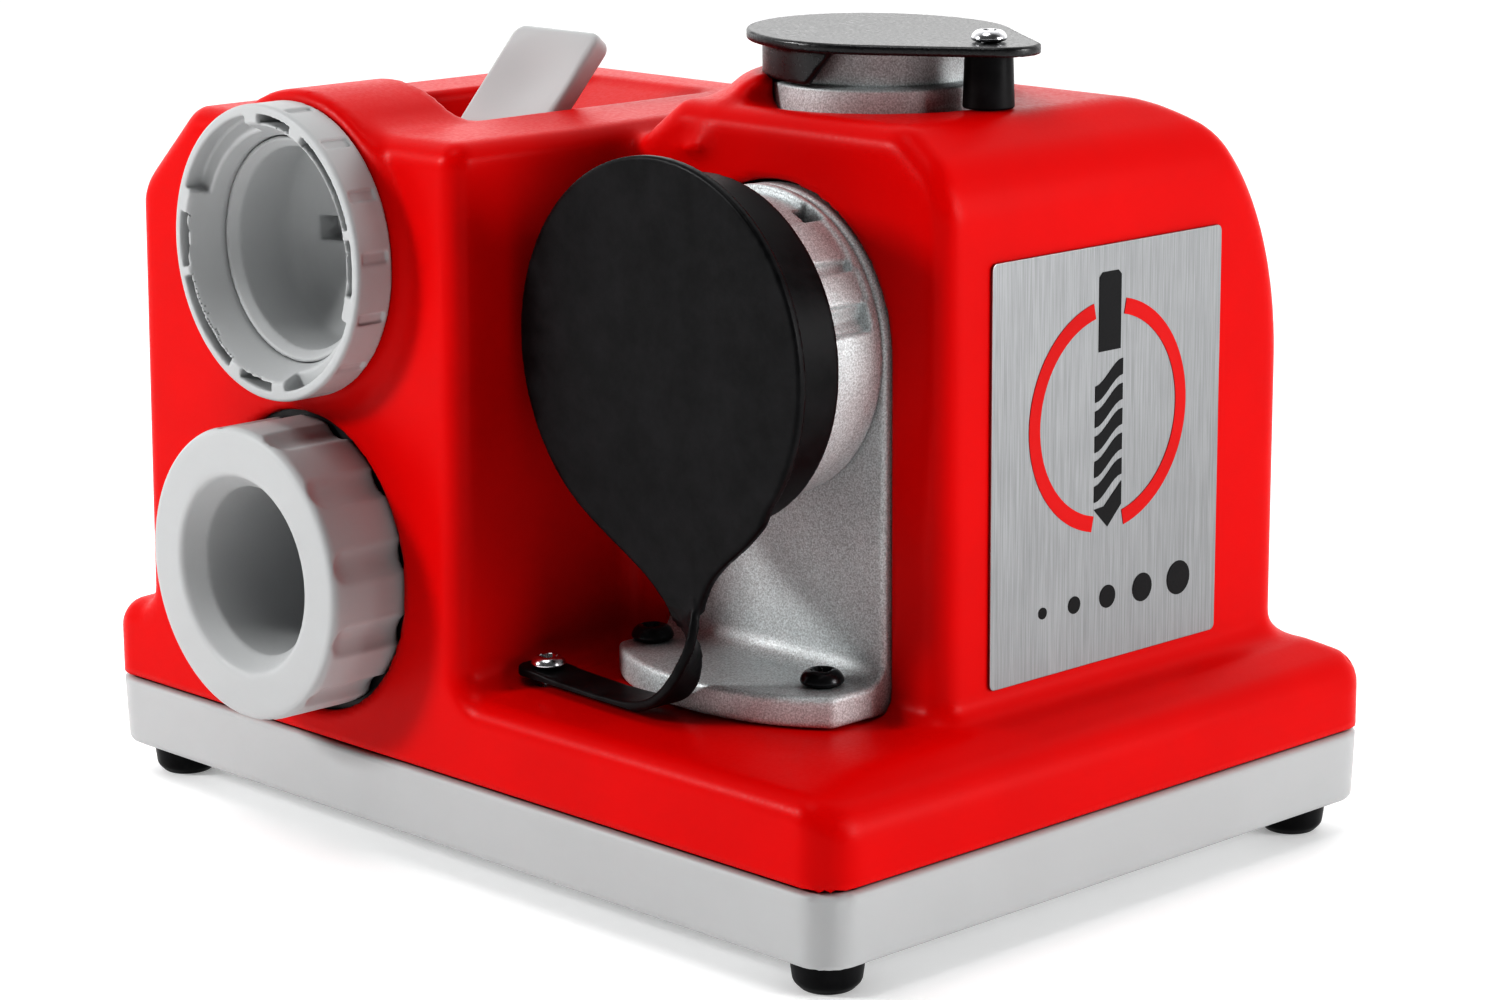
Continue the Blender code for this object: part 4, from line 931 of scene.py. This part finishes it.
def socket():
    """The cup inside the ring: a flared lip, a plain wall, then a dished back with a square pocket in it."""
    rim, radius, deep, thick = -13, 23.2, 11, 2.6

    def bowl(radius, deep):
        """The dished back's profile of (reach, depth), from beyond the axis out to where the wall starts."""
        curve = [(radius * x, rim + deep * y) for x, y in arc(0, 0, 1, -90, 0, 12)]
        return [(-5, rim - deep)] + curve

    inner = bowl(radius, deep) + [(radius, -0.8), (24.9, 1.3), (24.9, 9), (-5, 9)]
    outer = bowl(radius + thick, deep + thick) + [(radius + thick, 1.4), (-5, 1.4)]

    def field(x, y, z):
        u, v = x - DIAL_X, z - DIAL_Z
        reach, depth = np.hypot(u, v), FRONT_Y - y
        reach, depth = np.broadcast_arrays(reach, depth)
        space = outline_distance(inner, reach, depth)
        shape = without(outline_distance(outer, reach, depth), space, 0.3)
        boss = np.maximum(rounded_box(u + 14, v - 0.7, 5.8, 4.5, 0.5), between(depth, -27.5, -16))
        shape = np.minimum(shape, np.maximum(boss, -space))
        hole = np.maximum(rounded_box(u + 14, v - 0.7, 4.1, 2.8, 0.3), between(depth, -25.8, rim))
        flange = np.maximum(between(reach, 25, 34), between(depth, -9.8, -6.5))
        flange = np.maximum(sector(u, v, 200, 340), flange)
        return np.minimum(without(shape, hole, 0.2), flange)

    points, faces = net(field, (-79, -93, 104.5), (-8, -58.5, 167), 0.65)
    put("setting_cup", points, faces, FINISHES["grey_plastic"], "machine",
        ["setting_socket"])


def grip():
    """The chuck's fluted nut with its chamfered bore."""
    radius, mouth, beyond = 19.6, 23.2, 30
    bore = softened([(0, -beyond, 0), (radius, -beyond, 0), (radius, 13.2, 0.8), (mouth, 18.5, 0),
                     (mouth, beyond, 0), (0, beyond, 0)], 4)
    flutes, flute_radius, flute_reach, flute_end = 12, 5.9, 38.2, 13.6

    def field(x, y, z):
        u, v = x - CHUCK_X, z - CHUCK_Z
        reach, depth = np.hypot(u, v), FRONT_Y - y
        shape = meet(meet(reach - CHUCK_RADIUS, depth - 18.5, 1.8), -2.5 - depth, 0.4)
        out, round_it = folded(u, v, flutes, 11.5)
        past_end = np.maximum(depth - flute_end, 0)
        flute = np.sqrt((out - flute_reach) ** 2 + round_it ** 2 + past_end ** 2) - flute_radius
        shape = without(shape, flute, 0.3)
        seat = np.maximum(reach - 23.6, depth - 2)
        reach, depth = np.broadcast_arrays(reach, depth)
        opening = outline_distance(bore, reach, depth)
        shape = without(np.maximum(shape, -seat), opening, 0.8)
        sleeve = np.maximum(reach - 21.4, between(depth, -20.75, 4))
        return np.minimum(shape, np.maximum(sleeve, -opening))

    points, faces = net(field, (-80.5, -109.7, 31), (-9.5, -68.5, 102), 0.75)
    put("chuck_nut", points, faces, FINISHES["grey_plastic"], "grip", ["chuck_grip"])


def paddle():
    """The switch paddle: a dished blade with soft corners above its hub."""
    lean = math.radians(48)

    def field(x, y, z):
        u, v = y - PIN_Y, z - PIN_Z
        # s runs up the leaning blade and t out of its face.
        s = (u + 1.5) * math.cos(lean) + (v + 1) * math.sin(lean)
        t = (v + 1) * math.cos(lean) - (u + 1.5) * math.sin(lean)
        side = x - PADDLE_X
        plan = rounded_box(s - 13.3, side, 16, 15, 3.5)
        blade = meet(plan, between(t, -0.02 * s, 5), 1.6)
        dish = np.sqrt((s - 14) ** 2 * 1.3 + side ** 2 + (t - 54.6) ** 2) - 51
        blade = without(blade, dish, 1.2)
        hub = np.maximum(np.hypot(u, v) - 4.2, np.abs(side) - 12)
        stem = np.maximum(np.maximum(np.abs(u) - 1.8, np.abs(side) - 5), between(v, -13, 0))
        shape = merge(merge(blade, hub, 1.5), stem, 1)
        return without(shape, np.hypot(u, v) - 1.65, 0.1)

    points, faces = net(field, (-53.5, -38, 146), (-20.5, 0, 186), 0.6)
    put("rocker_paddle", points, faces, FINISHES["grey_plastic"], "paddle",
        ["switch_paddle"])


def gland():
    """The bushing in the back wall that a cord would leave by."""
    profile = softened([(3.6, 10, 0.4), (6.0, 10, 0.4), (6.0, -0.3, 0), (8.7, -0.3, 0.6), (8.5, -3, 0.8),
                        (6.4, -4.2, 0.6), (5.6, -13, 0.6), (3.6, -13, 0.4)], 4)
    points, faces = welded(*lathe(profile + profile[:1], 64))
    points = forward(points, GLAND_X, BACK_Y, GLAND_Z)
    put("cord_bushing", points, faces, FINISHES["dark_plastic"], "machine",
        ["cord_gland"], crease=40)


# ------------------------------------------------------------ studio


def studio():
    """The photo's camera, a soft sky that is brighter on one side, three lamps and a pale floor."""
    yaw, pitch, roll = (math.radians(a) for a in (46.04, 12.98, -0.356))
    ahead = Vector((-math.sin(yaw) * math.cos(pitch), math.cos(yaw) * math.cos(pitch), -math.sin(pitch)))
    side = Vector((math.cos(yaw), math.sin(yaw), 0))
    up = side.cross(ahead)
    across = side * math.cos(roll) + up * math.sin(roll)
    upward = up * math.cos(roll) - side * math.sin(roll)
    camera = bpy.data.objects.new("camera", bpy.data.cameras.new("camera"))
    bpy.context.scene.collection.objects.link(camera)
    camera.data.sensor_width = 36
    camera.data.lens = 96.15
    camera.data.clip_start, camera.data.clip_end = 0.05, 20
    camera.matrix_world = Matrix([(*axis, 0) for axis in zip(across, upward, -ahead)] + [(0, 0, 0, 1)])
    camera.location = (0.67262, -0.63019, 0.28747)
    bpy.context.scene.camera = camera
    view = bpy.context.scene.view_settings
    view.view_transform, view.look = "Standard", "High Contrast"

    world = bpy.data.worlds.new("studio")
    world.use_nodes = True
    tree = world.node_tree
    place = tree.nodes.new("ShaderNodeTexCoord")
    facing = tree.nodes.new("ShaderNodeVectorMath")
    facing.operation = "DOT_PRODUCT"
    facing.inputs[1].default_value = (-0.68, 0.7, 0.2)
    tree.links.new(place.outputs["Generated"], facing.inputs[0])
    backdrop = ramp(tree, facing.outputs["Value"], -0.1, 0.8, 0.07, 1.25)
    tree.links.new(backdrop, tree.nodes["Background"].inputs["Strength"])
    tree.nodes["Background"].inputs["Color"].default_value = (1, 1, 1, 1)
    bpy.context.scene.world = world

    def lamp(name, place, size, power):
        """A square lamp that faces the machine's middle."""
        light = bpy.data.objects.new(name, bpy.data.lights.new(name, "AREA"))
        light.data.shape = "SQUARE"
        light.data.size = size
        light.data.energy = power
        light.location = place
        light.rotation_euler = (Vector((0, 0, 0.08)) - Vector(place)).to_track_quat("-Z", "Y").to_euler()
        bpy.context.scene.collection.objects.link(light)

    lamp("key", (-0.85, -1.2, 0.72), 0.26, 12.2)
    lamp("fill", (1.45, 0.7, 0.5), 0.7, 13)
    lamp("top", (0.1, -0.55, 1.7), 0.8, 5.5)

    floor, far = bpy.data.meshes.new("floor"), 30
    floor.from_pydata([(-far, -far, 0), (far, -far, 0), (far, far, 0), (-far, far, 0)], [], [(0, 1, 2, 3)])
    ground = bpy.data.objects.new("floor", floor)
    bpy.context.scene.collection.objects.link(ground)
    material, _, shader = surface("floor", (0.85, 0.85, 0.85), 0.6, specular=0.1)
    shader.inputs["Emission Color"].default_value = (1, 1, 1, 1)
    shader.inputs["Emission Strength"].default_value = 0.2
    floor.materials.append(material)


studio()
slots = {part["node"]: part["material_slot"] for part in frame["record"]["subparts"]}
for name, node in frame["nodes"].items():
    node.data.materials.clear()
    node.data.materials.append(FINISHES[slots[name]])
for make in (cover, tray, feet, label, screws, bracket, port_ring, front_cap, top_ring, top_cap, post, dial,
             socket, grip, paddle, gland):
    make()
